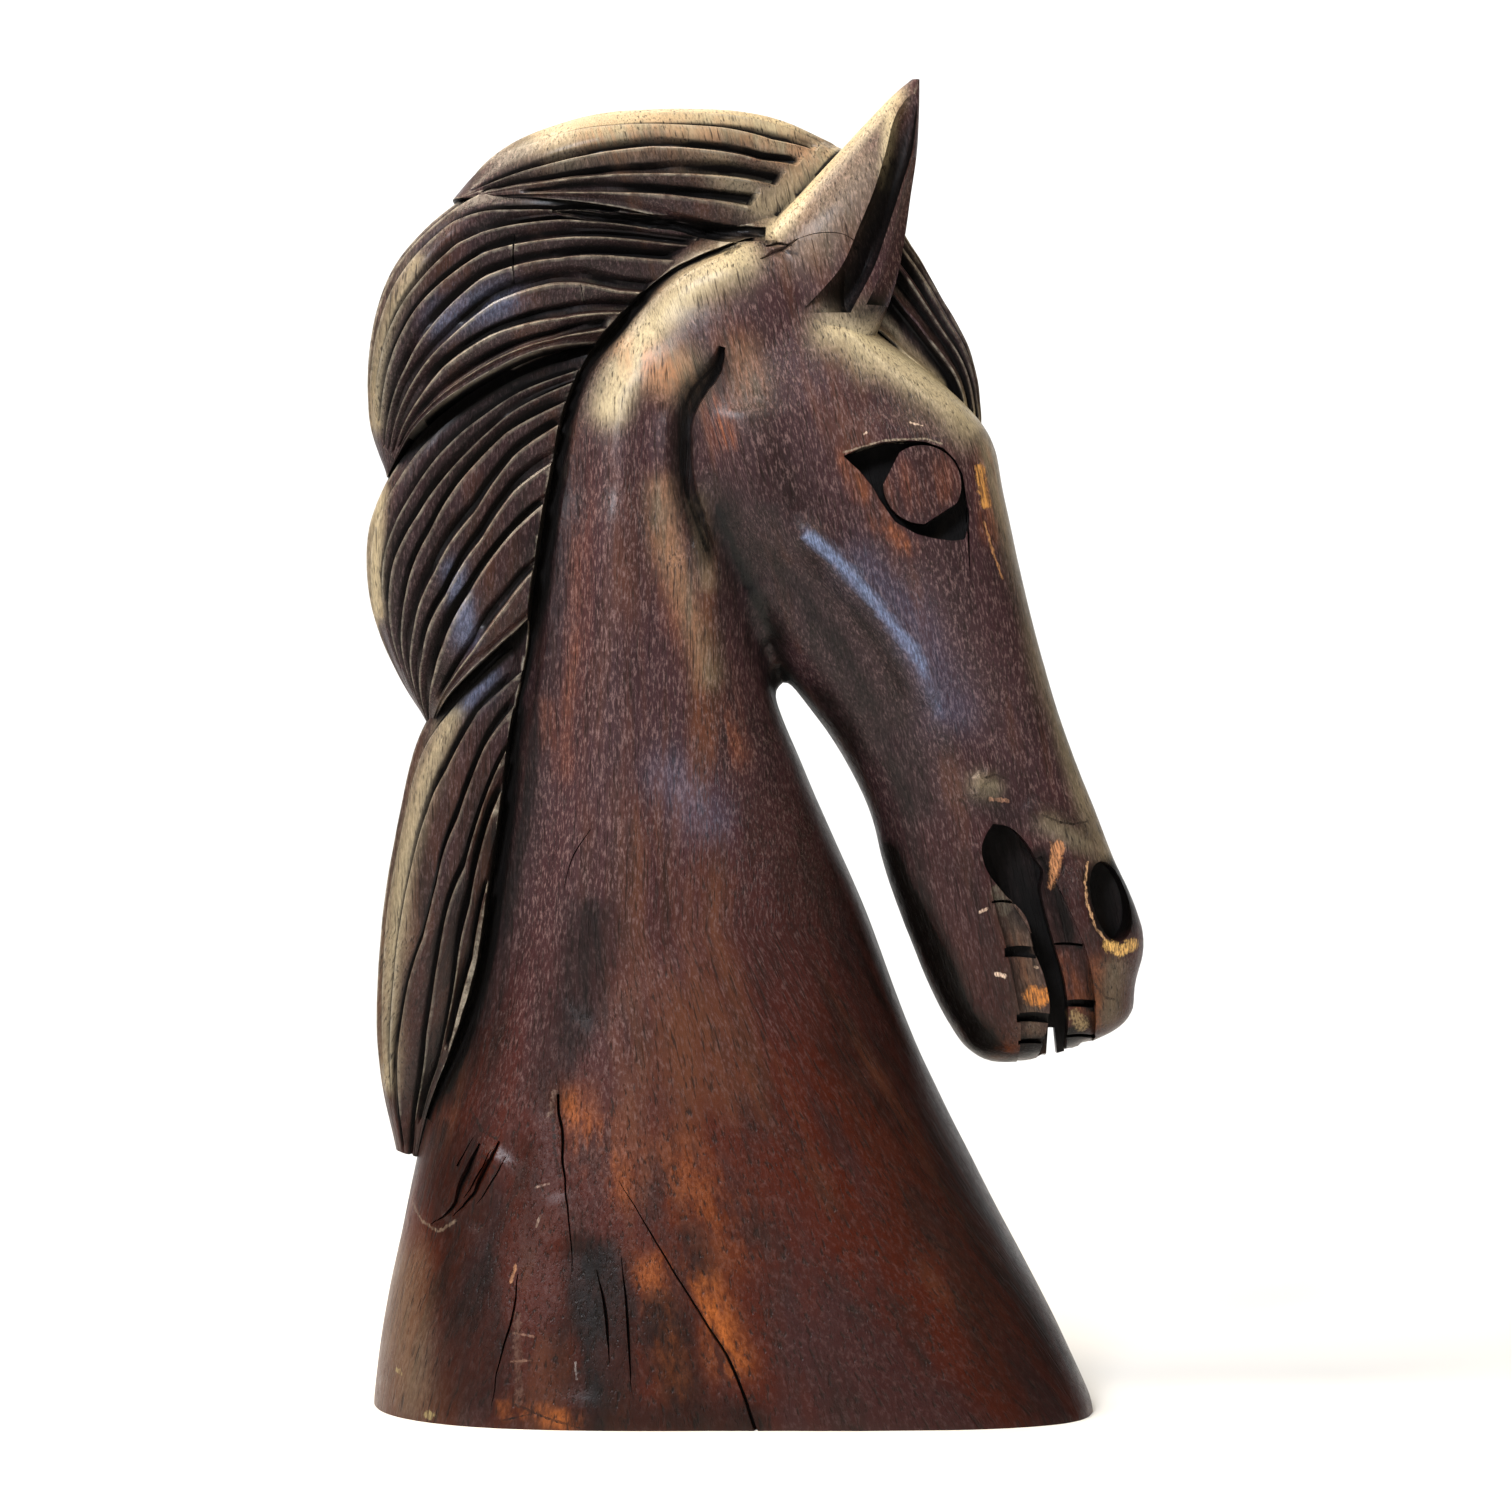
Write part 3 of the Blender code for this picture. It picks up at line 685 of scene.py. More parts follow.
@dataclass
class Lock:
    """A lock of hair that wraps the crest, parted into strands by gouge cuts.

    A cut runs through places on the lock, each given as its share of the way from root to tip and
    of the way from the crest to the lock's inner edge. The lip is how far a strand's upper edge
    stands up beside its cut, and the tuck how far its lower edge dips under the next strand.
    """

    name: str
    outer: Line
    inner: Line
    half_width: tuple[float, ...]
    cuts: tuple[Line, ...]
    rows: int = 66
    depth: float = 5.6
    cut_half_width: tuple[float, float] = (3.0, 2.0)
    lip: float = 0.5
    tuck: float = 2.4
    seed: float = 1.0
    least_apart: float = 0.028
    widest_cut: float = 0.31
    smooth_columns: int = 81

    def surface(self, across: Array, along: Array, widest: float) -> Array:
        """Places on the lock before it is cut.

        Args:
            across: For each row, where its columns lie, from -1 on the near side to 1.
            along: Where the rows lie, from root to tip.
            widest: The lock's half width where its part is 1, in millimetres.

        Returns:
            The places in millimetres, row by row.
        """
        outer = curve_through(self.outer, along)
        inner = curve_through(self.inner, along)
        half = curve_through(self.half_width, along)[:, 0] * widest
        turn = np.abs(across) * math.pi / 2
        inward = (1 - np.cos(turn))[..., None]
        side = outer[:, None, :] * (1 - inward) + inner[:, None, :] * inward
        roundness = (0.4 + 0.5 * along)[:, None]
        y = np.sign(across) * half[:, None] * np.sin(turn) ** roundness
        return np.stack((side[..., 0], y, side[..., 1]), axis=-1)

    def laid_cuts(self, along: Array) -> tuple[Array, Array]:
        """Follows every cut down the lock.

        Args:
            along: Where the rows lie.

        Returns:
            Where each cut lies across in each row, and how far it is open there, from 0 to 1.
        """
        spots, opens = [], []
        for number, cut in enumerate(self.cuts):
            ways, overs = zip(*cut)
            shake = np.sin(along * 9 + self.seed + number * 2.1) * 0.004
            spots.append(np.interp(along, ways, overs) + shake)
            begin = np.clip((along - ways[0]) / 0.012, 0, 1)
            finish = np.clip((ways[-1] + 0.05 - along) / 0.12, 0, 1)
            opens.append(np.sqrt(begin * finish))
        across, least = np.stack(spots, axis=1), self.least_apart
        for column in range(1, across.shape[1]):
            across[:, column] = np.maximum(across[:, column], across[:, column - 1] + least)
        inner = 1.0
        for column in reversed(range(across.shape[1])):
            inner = across[:, column] = np.minimum(across[:, column], inner - least)
        return across, np.stack(opens, axis=1)

    def side_columns(self, along: Array, widest: float) -> tuple[Array, Array]:
        """Lays out one side's columns, from the parting at the crest to the inner edge.

        Args:
            along: Where the rows lie.
            widest: The lock's half width where its part is 1.

        Returns:
            Where each column lies across in each row, and how deep it lies there in millimetres.
        """
        cuts, opens = self.laid_cuts(along)
        ones = np.ones((len(along), 1))
        cuts = np.hstack((0 * ones, cuts, ones))
        parting = 0.5 * np.clip((0.9 - along) / 0.1, 0, 1)
        opens = np.hstack((parting[:, None], opens, ones))
        edges = self.surface(cuts, along, widest)
        pitch = np.maximum(np.linalg.norm(np.diff(edges, axis=1), axis=-1), 0.6)
        half = np.interp(along, (0, 1), self.cut_half_width)[:, None] * np.ones_like(cuts)
        half *= 1 + 0.25 * np.sin(np.arange(cuts.shape[1]) * 2.3 + self.seed + along[:, None] * 6)
        deep = self.depth * opens
        across, sink = [], []
        for strand in range(cuts.shape[1] - 1):
            left, span = cuts[:, strand], cuts[:, strand + 1] - cuts[:, strand]
            start = np.minimum(half[:, strand] / pitch[:, strand], self.widest_cut)
            stop = 1 - np.minimum(half[:, strand + 1] / pitch[:, strand], self.widest_cut)
            limit = 0.55 * pitch[:, strand]
            one, other = np.minimum(deep[:, strand], limit), np.minimum(deep[:, strand + 1], limit)
            flat = np.minimum(1, pitch[:, strand] / 6)
            lip, tuck = self.lip * opens[:, strand] * flat, self.tuck * opens[:, strand + 1] * flat
            for mark, depth in (
                (0 * start, one), (start * 0.5, one * 0.9), (start, 0 * one), (start + 0.07, -lip),
                (0 * start + 0.5, tuck * 0.25), (stop - 0.07, tuck * 0.7), (stop, tuck + 0.1),
                (1 - (1 - stop) * 0.5, other * 0.9),
            ):
                across.append(left + span * mark)
                sink.append(depth)
        across.append(cuts[:, -1])
        sink.append(other)
        return np.stack(across, axis=1), np.stack(sink, axis=1)

    def build(self, widest: float) -> Body:
        """The lock as a closed body.

        Args:
            widest: Its half width where its part is 1, in millimetres.

        Returns:
            The lock as an object.
        """
        along = np.linspace(0, 1, self.rows)
        across, sink = self.side_columns(along, widest)
        across = np.hstack((-across[:, :0:-1], across))
        sink = np.hstack((sink[:, :0:-1], sink))
        places = self.surface(across, along, widest)
        even = np.linspace(-1, 1, self.smooth_columns)
        smooth = self.surface(np.tile(even, (self.rows, 1)), along, widest)
        out = np.cross(np.gradient(smooth, axis=1), np.gradient(smooth, axis=0))
        out /= np.maximum(np.linalg.norm(out, axis=-1, keepdims=True), 1e-7)
        straight = np.empty_like(places)
        for row in range(self.rows):
            for axis in range(3):
                straight[row, :, axis] = np.interp(across[row], even, out[row, :, axis])
        wobble = ripple(places.reshape(-1, 3), (0.09, 0.09, 0.09), self.seed)
        wobble = wobble.reshape(across.shape)
        sink = sink * (1 + 0.2 * wobble) + wobble * 0.25
        return as_object(self.name, laid_skin((places - straight * sink[..., None]) * MM))


@dataclass
class Mane:
    """The arched mane and the forelock.

    A lock lists its outer edge over the crest and its inner edge on the neck, root to tip, and its
    half width as a part of the mane's. On each side of the core it is trimmed at the hairline.
    """

    half_width: float = 43.0
    forelock_half_width: float = 17.0
    core: float = 14.0
    trim_side: float = 90.0
    trim_top: float = 520.0
    trim_front: float = 220.0
    locks: tuple[Lock, ...] = field(default_factory=lambda: (
        Lock(
            "crown",
            ((44, 477), (15, 489), (-20, 492), (-59, 488.5), (-92, 473.5), (-106, 458)),
            ((16, 439), (-10, 444), (-42, 451), (-74, 455), (-102, 457)),
            (0.66, 0.86, 0.94, 0.80, 0.42),
            (
                ((0.02, 0.07), (0.96, 0.05)),
                ((0.05, 0.19), (0.50, 0.20), (0.90, 0.12)),
                ((0.06, 0.29), (0.15, 0.36), (0.32, 0.37), (0.56, 0.40), (0.75, 0.38), (0.88, 0.27),
                    (0.95, 0.18)),
                ((0.07, 0.49), (0.15, 0.55), (0.43, 0.57), (0.62, 0.64), (0.82, 0.71),
                    (0.90, 0.73)),
                ((0.08, 0.65), (0.31, 0.71), (0.52, 0.78), (0.71, 0.84), (0.87, 0.88)),
                ((0.11, 0.81), (0.36, 0.86), (0.59, 0.92), (0.74, 0.95)),
            ),
            seed=1.3,
        ),
        Lock(
            "nape",
            ((8, 470), (-60, 474), (-103, 457), (-128, 432), (-138, 396), (-137, 370), (-131, 352)),
            ((-38, 400), (-66, 398), (-96, 385), (-120, 367), (-130, 352)),
            (0.78, 0.98, 1.00, 0.82, 0.30),
            (
                ((0.20, 0.09), (0.60, 0.08), (0.94, 0.07)),
                ((0.25, 0.22), (0.50, 0.17), (0.92, 0.16)),
                ((0.18, 0.53), (0.31, 0.50), (0.37, 0.45), (0.46, 0.34), (0.51, 0.29), (0.65, 0.28),
                    (0.86, 0.26)),
                ((0.10, 0.58), (0.23, 0.57), (0.35, 0.52), (0.45, 0.46), (0.51, 0.43), (0.62, 0.45),
                    (0.80, 0.42)),
                ((0.00, 0.63), (0.23, 0.62), (0.32, 0.60), (0.45, 0.56), (0.69, 0.57),
                    (0.84, 0.55)),
                ((0.00, 0.68), (0.28, 0.69), (0.46, 0.66), (0.59, 0.68), (0.73, 0.70),
                    (0.88, 0.68)),
                ((0.00, 0.80), (0.11, 0.80), (0.29, 0.77), (0.44, 0.76), (0.59, 0.78),
                    (0.88, 0.80)),
                ((0.02, 0.88), (0.25, 0.89), (0.46, 0.87), (0.62, 0.87), (0.88, 0.90)),
                ((0.10, 0.93), (0.26, 0.965), (0.85, 0.97)),
            ),
            rows=76,
            seed=2.1,
        ),
        Lock(
            "middle",
            ((-38, 408), (-86, 392), (-122, 364), (-137.5, 334), (-137, 304), (-127, 277),
                (-115, 257)),
            ((-68, 302), (-80, 292), (-95, 279), (-108, 265), (-114, 255)),
            (1.00, 1.02, 0.98, 0.76, 0.28),
            (
                ((0.15, 0.09), (0.55, 0.11), (0.94, 0.09)),
                ((0.12, 0.20), (0.50, 0.24), (0.90, 0.20)),
                ((0.05, 0.30), (0.20, 0.31), (0.32, 0.33), (0.47, 0.37), (0.70, 0.40)),
                ((0.05, 0.35), (0.20, 0.38), (0.33, 0.43), (0.49, 0.47), (0.80, 0.48)),
                ((0.06, 0.41), (0.23, 0.45), (0.33, 0.50), (0.47, 0.57), (0.63, 0.60),
                    (0.85, 0.58)),
                ((0.06, 0.48), (0.21, 0.54), (0.33, 0.63), (0.51, 0.67), (0.68, 0.68),
                    (0.88, 0.64)),
                ((0.05, 0.59), (0.21, 0.64), (0.33, 0.71), (0.51, 0.76), (0.73, 0.77),
                    (0.92, 0.71)),
                ((0.06, 0.70), (0.25, 0.76), (0.42, 0.82), (0.62, 0.85), (0.92, 0.84)),
                ((0.08, 0.86), (0.27, 0.91), (0.50, 0.95), (0.80, 0.96)),
            ),
            seed=3.7,
        ),
        Lock(
            "lower",
            ((-58, 318), (-96, 284), (-117, 256), (-126, 222), (-133, 180), (-133.5, 120),
                (-128, 94)),
            ((-82, 184), (-92, 158), (-103, 130), (-114, 108), (-119, 92)),
            (0.96, 0.94, 0.82, 0.56, 0.24),
            (
                ((0.15, 0.09), (0.50, 0.08), (0.90, 0.12)),
                ((0.12, 0.26), (0.30, 0.24), (0.45, 0.22), (0.60, 0.19), (0.80, 0.27)),
                ((0.06, 0.40), (0.20, 0.38), (0.29, 0.43), (0.37, 0.44), (0.47, 0.41), (0.61, 0.41),
                    (0.85, 0.47)),
                ((0.05, 0.46), (0.18, 0.50), (0.28, 0.59), (0.40, 0.63), (0.52, 0.63), (0.64, 0.59),
                    (0.94, 0.55)),
                ((0.05, 0.52), (0.18, 0.63), (0.28, 0.72), (0.45, 0.74), (0.65, 0.78), (0.78, 0.84),
                    (0.96, 0.86)),
                ((0.06, 0.61), (0.18, 0.70), (0.28, 0.80), (0.47, 0.87), (0.67, 0.92),
                    (0.83, 0.94)),
                ((0.07, 0.69), (0.18, 0.81), (0.31, 0.90), (0.55, 0.93)),
            ),
            seed=4.9,
        ),
    ))
    forelock: Lock = field(default_factory=lambda: Lock(
        "forelock",
        ((40, 468), (64, 444), (80, 420), (91.5, 398), (96, 378), (95.5, 364)),
        ((30, 432), (46, 416), (66, 398), (82, 384), (90, 366)),
        (0.90, 1.00, 0.92, 0.70, 0.30),
        (
            ((0.05, 0.14), (0.90, 0.12)), ((0.05, 0.32), (0.92, 0.30)),
            ((0.05, 0.50), (0.94, 0.50)), ((0.05, 0.70), (0.90, 0.72)),
        ),
        rows=44,
        depth=5.0,
        cut_half_width=(2.0, 1.1),
        seed=6.2,
    ))

    def add_to(self, carving: Body, hairline: Line) -> None:
        """Joins every lock to the carving, trimmed where the hair meets the neck.

        Args:
            carving: The head and neck.
            hairline: The edge of the hair on the neck, from the foot up to the ear.
        """
        (foot, _), (top, _) = hairline[0], hairline[-1]
        ahead = ((top, self.trim_top), (self.trim_front, self.trim_top), (self.trim_front, 0))
        face = np.array(((foot, 0),) + hairline + ahead)
        for lock in self.locks:
            hair = lock.build(self.half_width)
            if lock.name != "crown":
                for low, high in ((-self.trim_side, -self.core), (self.core, self.trim_side)):
                    combine(hair, plate("trim", face, low, high), Join.CUT)
            combine(carving, hair, Join.ADD)
            log.info("lock %s: %d points so far", lock.name, len(carving.data.vertices))
        combine(carving, self.forelock.build(self.forelock_half_width), Join.ADD)


@dataclass
class Ears:
    """Two upright ears, each a leaf with a hollow that opens to the front and outwards.

    Their sections are listed from the bottom: height, rear, front, share of the thickness, and how
    far the section leans in towards the middle plane.
    """

    spread: float = 29.0
    thickness: float = 26.0
    wall: float = 4.0
    widest: float = 0.62
    rings: int = 44
    points: int = 48
    squares: tuple[float, float] = (2.6, 1.9)
    out_part: float = 0.45
    front_over: float = 12.0
    leaf: tuple = (
        (378, 30, 44, 0.50, 13), (390, 22, 50, 0.72, 8), (402, 15, 55, 0.86, 4),
            (414, 11, 60, 0.93, 1.5),
        (427, 10, 64, 0.97, 0.3), (443, 14, 67, 1.00, 0), (458, 28, 69, 0.92, 0),
        (472, 41, 71, 0.76, 0), (486, 54, 71.8, 0.52, 0), (496, 64, 72, 0.26, 0),
            (500, 69, 72, 0.10, 0),
    )
    hollow: tuple = (
        (411, 25, 47, 0.66, 0), (417, 30, 50, 0.86, 0), (427, 38, 55, 0.98, 0),
            (443, 45, 60.5, 1.00, 0),
        (458, 52, 65, 0.90, 0), (472, 57.5, 69, 0.74, 0), (486, 63, 71, 0.50, 0),
            (494, 68, 72, 0.20, 0),
    )
    front_hollow: tuple = (
        (414, 49, 63, 0.60, 0), (427, 56, 68, 0.80, 0), (443, 61, 71, 0.86, 0),
            (458, 65, 73, 0.74, 0),
        (470, 69, 75, 0.40, 0),
    )

    def part(
        self, name: str, stations: tuple, over: float, width_part: float, out_part: float
    ) -> Body:
        """A leaf through level sections of the near ear.

        Args:
            name: Its name.
            stations: Its listed sections.
            over: How far it runs out through the front.
            width_part: Its thickness as a part of the ear's.
            out_part: How far out it lies, in halves of the thickness.

        Returns:
            The body as an object.
        """
        heights = np.linspace(stations[0][0], stations[-1][0], self.rings)
        angles = np.linspace(0, 2 * math.pi, self.points, endpoint=False)
        places = np.zeros((self.rings, self.points, 3))
        for ring, row in zip(places, smooth_rows(stations, heights)):
            height, rear, front, thick_part, sunk = row
            half = thick_part * self.thickness / 2 * width_part
            ends = (rear, rear + (front - rear) * self.widest, front + over)
            ring[:, 0], y = section(angles, ends, half, self.squares)
            ring[:, 1] = y - self.spread + sunk - out_part * self.thickness / 2
            ring[:, 2] = height
        return as_object(name, laid_skin(places * MM))

    def add_to(self, carving: Body) -> None:
        """Joins both ears to the carving.

        Args:
            carving: The carving.
        """
        near = self.part("ear", self.leaf, 0, 1.0, 0.0)
        inside = 1 - self.wall / self.thickness * 2
        for name, stations, over in (
            ("hollow", self.hollow, 0), ("front_hollow", self.front_hollow, self.front_over),
        ):
            combine(near, self.part(name, stations, over, inside, self.out_part), Join.CUT)
        combine(carving, mirrored(near), Join.ADD)
        combine(carving, near, Join.ADD)


def oval(
    centre: Place, half_length: float, half_height: float, tilt: float, count: int
) -> list[Place]:
    """Points of a tilted oval that stands on end.

    Args:
        centre: Its middle.
        half_length: Half its length, upright.
        half_height: Half its width.
        tilt: How far it leans, in radians.
        count: How many points it has.

    Returns:
        The points, round it.
    """
    points = []
    for step in range(count):
        angle = 2 * math.pi * step / count
        along, over = half_length * math.cos(angle), half_height * math.sin(angle)
        points.append((
            centre[0] + over * math.cos(tilt) - along * math.sin(tilt),
            centre[1] + along * math.cos(tilt) + over * math.sin(tilt),
        ))
    return points


@dataclass
class Face:
    """Eyes, nostrils, mouth and teeth.

    The lid is the outline of the hollow round the eyeball, and the chords cut the ball flat. The
    gaps between the teeth are listed as x, z, length and height.
    """

    eye_centre: Place = (72.5, 346.5)
    eye_radius: float = 14.6
    eye_depth: float = 12.0
    lid: Line = (
        (42.9, 356.9), (49.2, 360), (58, 362.2), (65, 362.9), (73.8, 362.5), (80.4, 360.2),
            (85, 355.8), (87.8, 350.3),
        (89, 342.4), (90.3, 334), (88.6, 326.2), (83.5, 325.6), (77, 326.4), (70.3, 328),
            (62.3, 332.4), (56.2, 341),
        (54.2, 344.8), (49.2, 351),
    )
    chords: tuple[Line, ...] = (((58.7, 348.1), (65.4, 361.3)), ((87.4, 341), (73.8, 332.1)))
    slot: Line = (
        (100, 219.6), (97, 215), (95.6, 210.5), (96.7, 204), (103.5, 194), (111.8, 185),
            (116, 170.6),
        (119.4, 162), (121.6, 152), (121.6, 118), (127.4, 118), (128.6, 136), (129, 145.3),
            (127.6, 159),
        (123.4, 174), (119.6, 188), (118.4, 195), (119.4, 201), (116.5, 206), (111.8, 213.5),
            (106, 218.5),
    )
    mouth_web: float = 8.0
    through: Line = ((122.5, 141), (125, 141), (127, 120), (121, 120))
    beds: tuple[Cut, ...] = (
        Cut("lower_teeth", ((99.5, 201), (103.1, 190.5), (109.6, 175.5), (113.7, 160.4),
            (116.3, 146.8), (116, 124)),
            (1.2, 3.8, 5.8, 6.2, 6.0, 6.0), (1.5, 4.2, 5.0, 5.0, 4.8, 4.4), Profile.FLAT, 30),
        Cut("upper_teeth", ((117, 207), (121.5, 194), (126.1, 181), (130.5, 167.2), (133.3, 152),
            (134, 140), (134, 124)),
            (1.5, 3.6, 5.0, 5.7, 5.6, 5.4, 5.4), (2.0, 4.4, 5.0, 5.0, 4.8, 4.6, 4.4), Profile.FLAT,
                34),
    )
    lower_gaps: tuple = ((103.9, 190, 9, 1.0), (110.4, 171, 12.5, 4.4), (115.4, 146, 13, 3.8),
        (116.2, 136.6, 13, 2.0))
    upper_gaps: tuple = ((128.0, 173.9, 12.5, 1.0), (132.8, 151.2, 12.5, 3.0),
        (133.6, 138.5, 12.5, 1.3))
    nostril_centre: Place = (145, 190)
    nostril_size: tuple[float, float] = (15.5, 8.5)
    nostril_tilt: float = math.radians(14)
    nostril_lean: float = -0.22
    nostril_depth: float = 15.0
    outside: float = 30.0
    lid_points: int = 96
    slot_points: int = 119
    nostril_points: int = 64

    def eye(self, surface: Surface) -> Body:
        """The hollow round the eyeball, which stays standing in it.

        Args:
            surface: Gives how far the wood reaches to the near side.

        Returns:
            The cutter.
        """
        at = np.linspace(0, 1, self.lid_points + 1)[:-1] * len(self.lid)
        closed = np.array(self.lid + (self.lid[0],))
        rim = np.column_stack([np.interp(at, range(len(closed)), values) for values in closed.T])
        reach = surface(*self.eye_centre)
        hollow = plate("eye", rim, -reach - self.outside, self.eye_depth - reach)
        ball = oval(self.eye_centre, self.eye_radius, self.eye_radius, 0.0, self.lid_points)
        for (start_x, start_z), (end_x, end_z) in self.chords:
            way = np.array((end_x - start_x, end_z - start_z))
            way /= np.linalg.norm(way)
            over = np.array((-way[1], way[0]))
            ball = [
                tuple(np.array(spot) - max(0.0, (np.array(spot) - (start_x,
                    start_z)) @ over) * over)
                for spot in ball
            ]
        low, high = -reach - 2 * self.outside, 2 * self.eye_depth - reach
        combine(hollow, plate("eyeball", ball, low, high), Join.CUT)
        return hollow

    def mouth(self) -> Body:
        """The slot between the jaws on the near side, down to the web in the middle.

        Returns:
            The cutter.
        """
        at = np.linspace(0, 1, self.slot_points + 1)[:-1]
        outline = curve_through(self.slot + (self.slot[0],), at)
        return plate("mouth", outline, -self.outside * 2, -self.mouth_web / 2)

    def tooth_gaps(self) -> Iterator[Cut]:
        """Level cuts between the teeth.

        Returns:
            The cuts, lower teeth first.
        """
        for x, z, length, height in self.lower_gaps + self.upper_gaps:
            line = ((x - length / 2, z), (x, z + 0.3), (x + length / 2, z - 0.4))
            half = height / 2
            yield Cut("tooth_gap", line, (half * 0.8, half, half), (8.6, 9.4, 9.0), Profile.FLAT, 6)

    def nostril(self, surface: Surface) -> Body:
        """The slanting hole of the near nostril.

        Args:
            surface: Gives how far the wood reaches to the near side.

        Returns:
            The cutter.
        """
        reach = surface(*self.nostril_centre)
        centre = (self.nostril_centre[0] - self.nostril_lean * self.outside, self.nostril_centre[1])
        rim = oval(centre, *self.nostril_size, self.nostril_tilt, self.nostril_points)
        low, high = -reach - self.outside, self.nostril_depth - reach
        return plate("nostril", rim, low, high, self.nostril_lean)

    def carve(self, carving: Body) -> None:
        """Cuts the face into both sides.

        Args:
            carving: The carving.
        """
        surface = surface_of(carving)
        cut_both_sides(carving, self.eye(surface))
        for cut in (*self.beds, *self.tooth_gaps()):
            cut_both_sides(carving, cut.body(surface))
        cut_both_sides(carving, self.mouth())
        cut_both_sides(carving, self.nostril(surface))
        deep = self.outside * 2
        combine(carving, plate("jaws", self.through, -deep, deep), Join.CUT)


@dataclass
class Grooves:
    """The groove behind the cheek and the rough channel along the edge of the mane."""

    cheek: Cut = Cut(
        "cheek_groove",
        ((-2.5, 398), (-4.5, 392), (-12, 383), (-17.6, 373), (-18.8, 360), (-17.6, 346), (-12, 330),
            (-5, 314)),
        (1.6, 4.6, 5.4, 5.8, 6.0, 5.8, 5.0, 3.0),
        (4.0, 5.4, 5.4, 5.0, 4.6, 3.6, 2.0, 0.5),
        Profile.SLOPE,
        64,
        0.3,
        0.5,
    )
    border: Cut = Cut(
        "border",
        (
            (-113, 107), (-109, 117.6), (-103, 131), (-96.3, 149), (-91, 167), (-87.3, 189.6),
                (-84.3, 208),
            (-82, 222), (-80, 239), (-77.6, 256), (-74.6, 269.8), (-71.7, 284.7), (-70.2, 303),
                (-68, 319),
            (-65.7, 336), (-62.7, 353), (-60.5, 366.8), (-57, 380), (-51, 393.7), (-41, 406),
                (-30, 418),
            (-18, 427), (-5, 432.8), (9, 438.4),
        ),
        (2.2, 3.0, 3.4, 3.8, 4.2, 4.4, 4.4, 4.2, 3.8, 3.4, 3.0, 2.6, 2.0),
        (1.8, 3.0, 3.2, 3.4, 3.6, 3.8, 4.0, 4.0, 4.0, 4.0, 3.8, 3.4, 2.4),
        Profile.SLOPE,
        170,
        0.25,
        0.9,
    )
    parting: Cut = Cut(
        "parting",
        ((14, 441), (-3, 442), (-18, 445), (-33, 446.5), (-50, 448), (-66, 450)),
        (3.0, 3.6, 3.0, 2.4, 2.0, 1.2),
        (4.5, 5.5, 5.0, 4.0, 3.0, 1.0),
        Profile.ROUND,
        44,
        0.5,
        1.2,
    )
    checks: tuple[Cut, ...] = (
        Cut("mane_check", ((-80, 441), (-80.5, 431), (-80, 422)), (0.25, 0.4, 0.2), (0.8, 1.2, 0.6),
            rows=10),
        Cut("mane_check_b", ((-55, 421), (-54, 415)), (0.3, 0.2), (0.9, 0.6), rows=6),
    )

    def carve(self, carving: Body, bare: Surface) -> None:
        """Cuts the grooves into both sides, and the checks in the mane into the near side.

        Args:
            carving: The carving with its hair.
            bare: The surface of the wood before it had hair.
        """
        cut_both_sides(carving, self.border.body(bare))
        cut_both_sides(carving, self.cheek.body(bare))
        hair = surface_of(carving)
        cut_both_sides(carving, self.parting.body(hair))
        for check in self.checks:
            combine(carving, check.body(hair), Join.CUT)


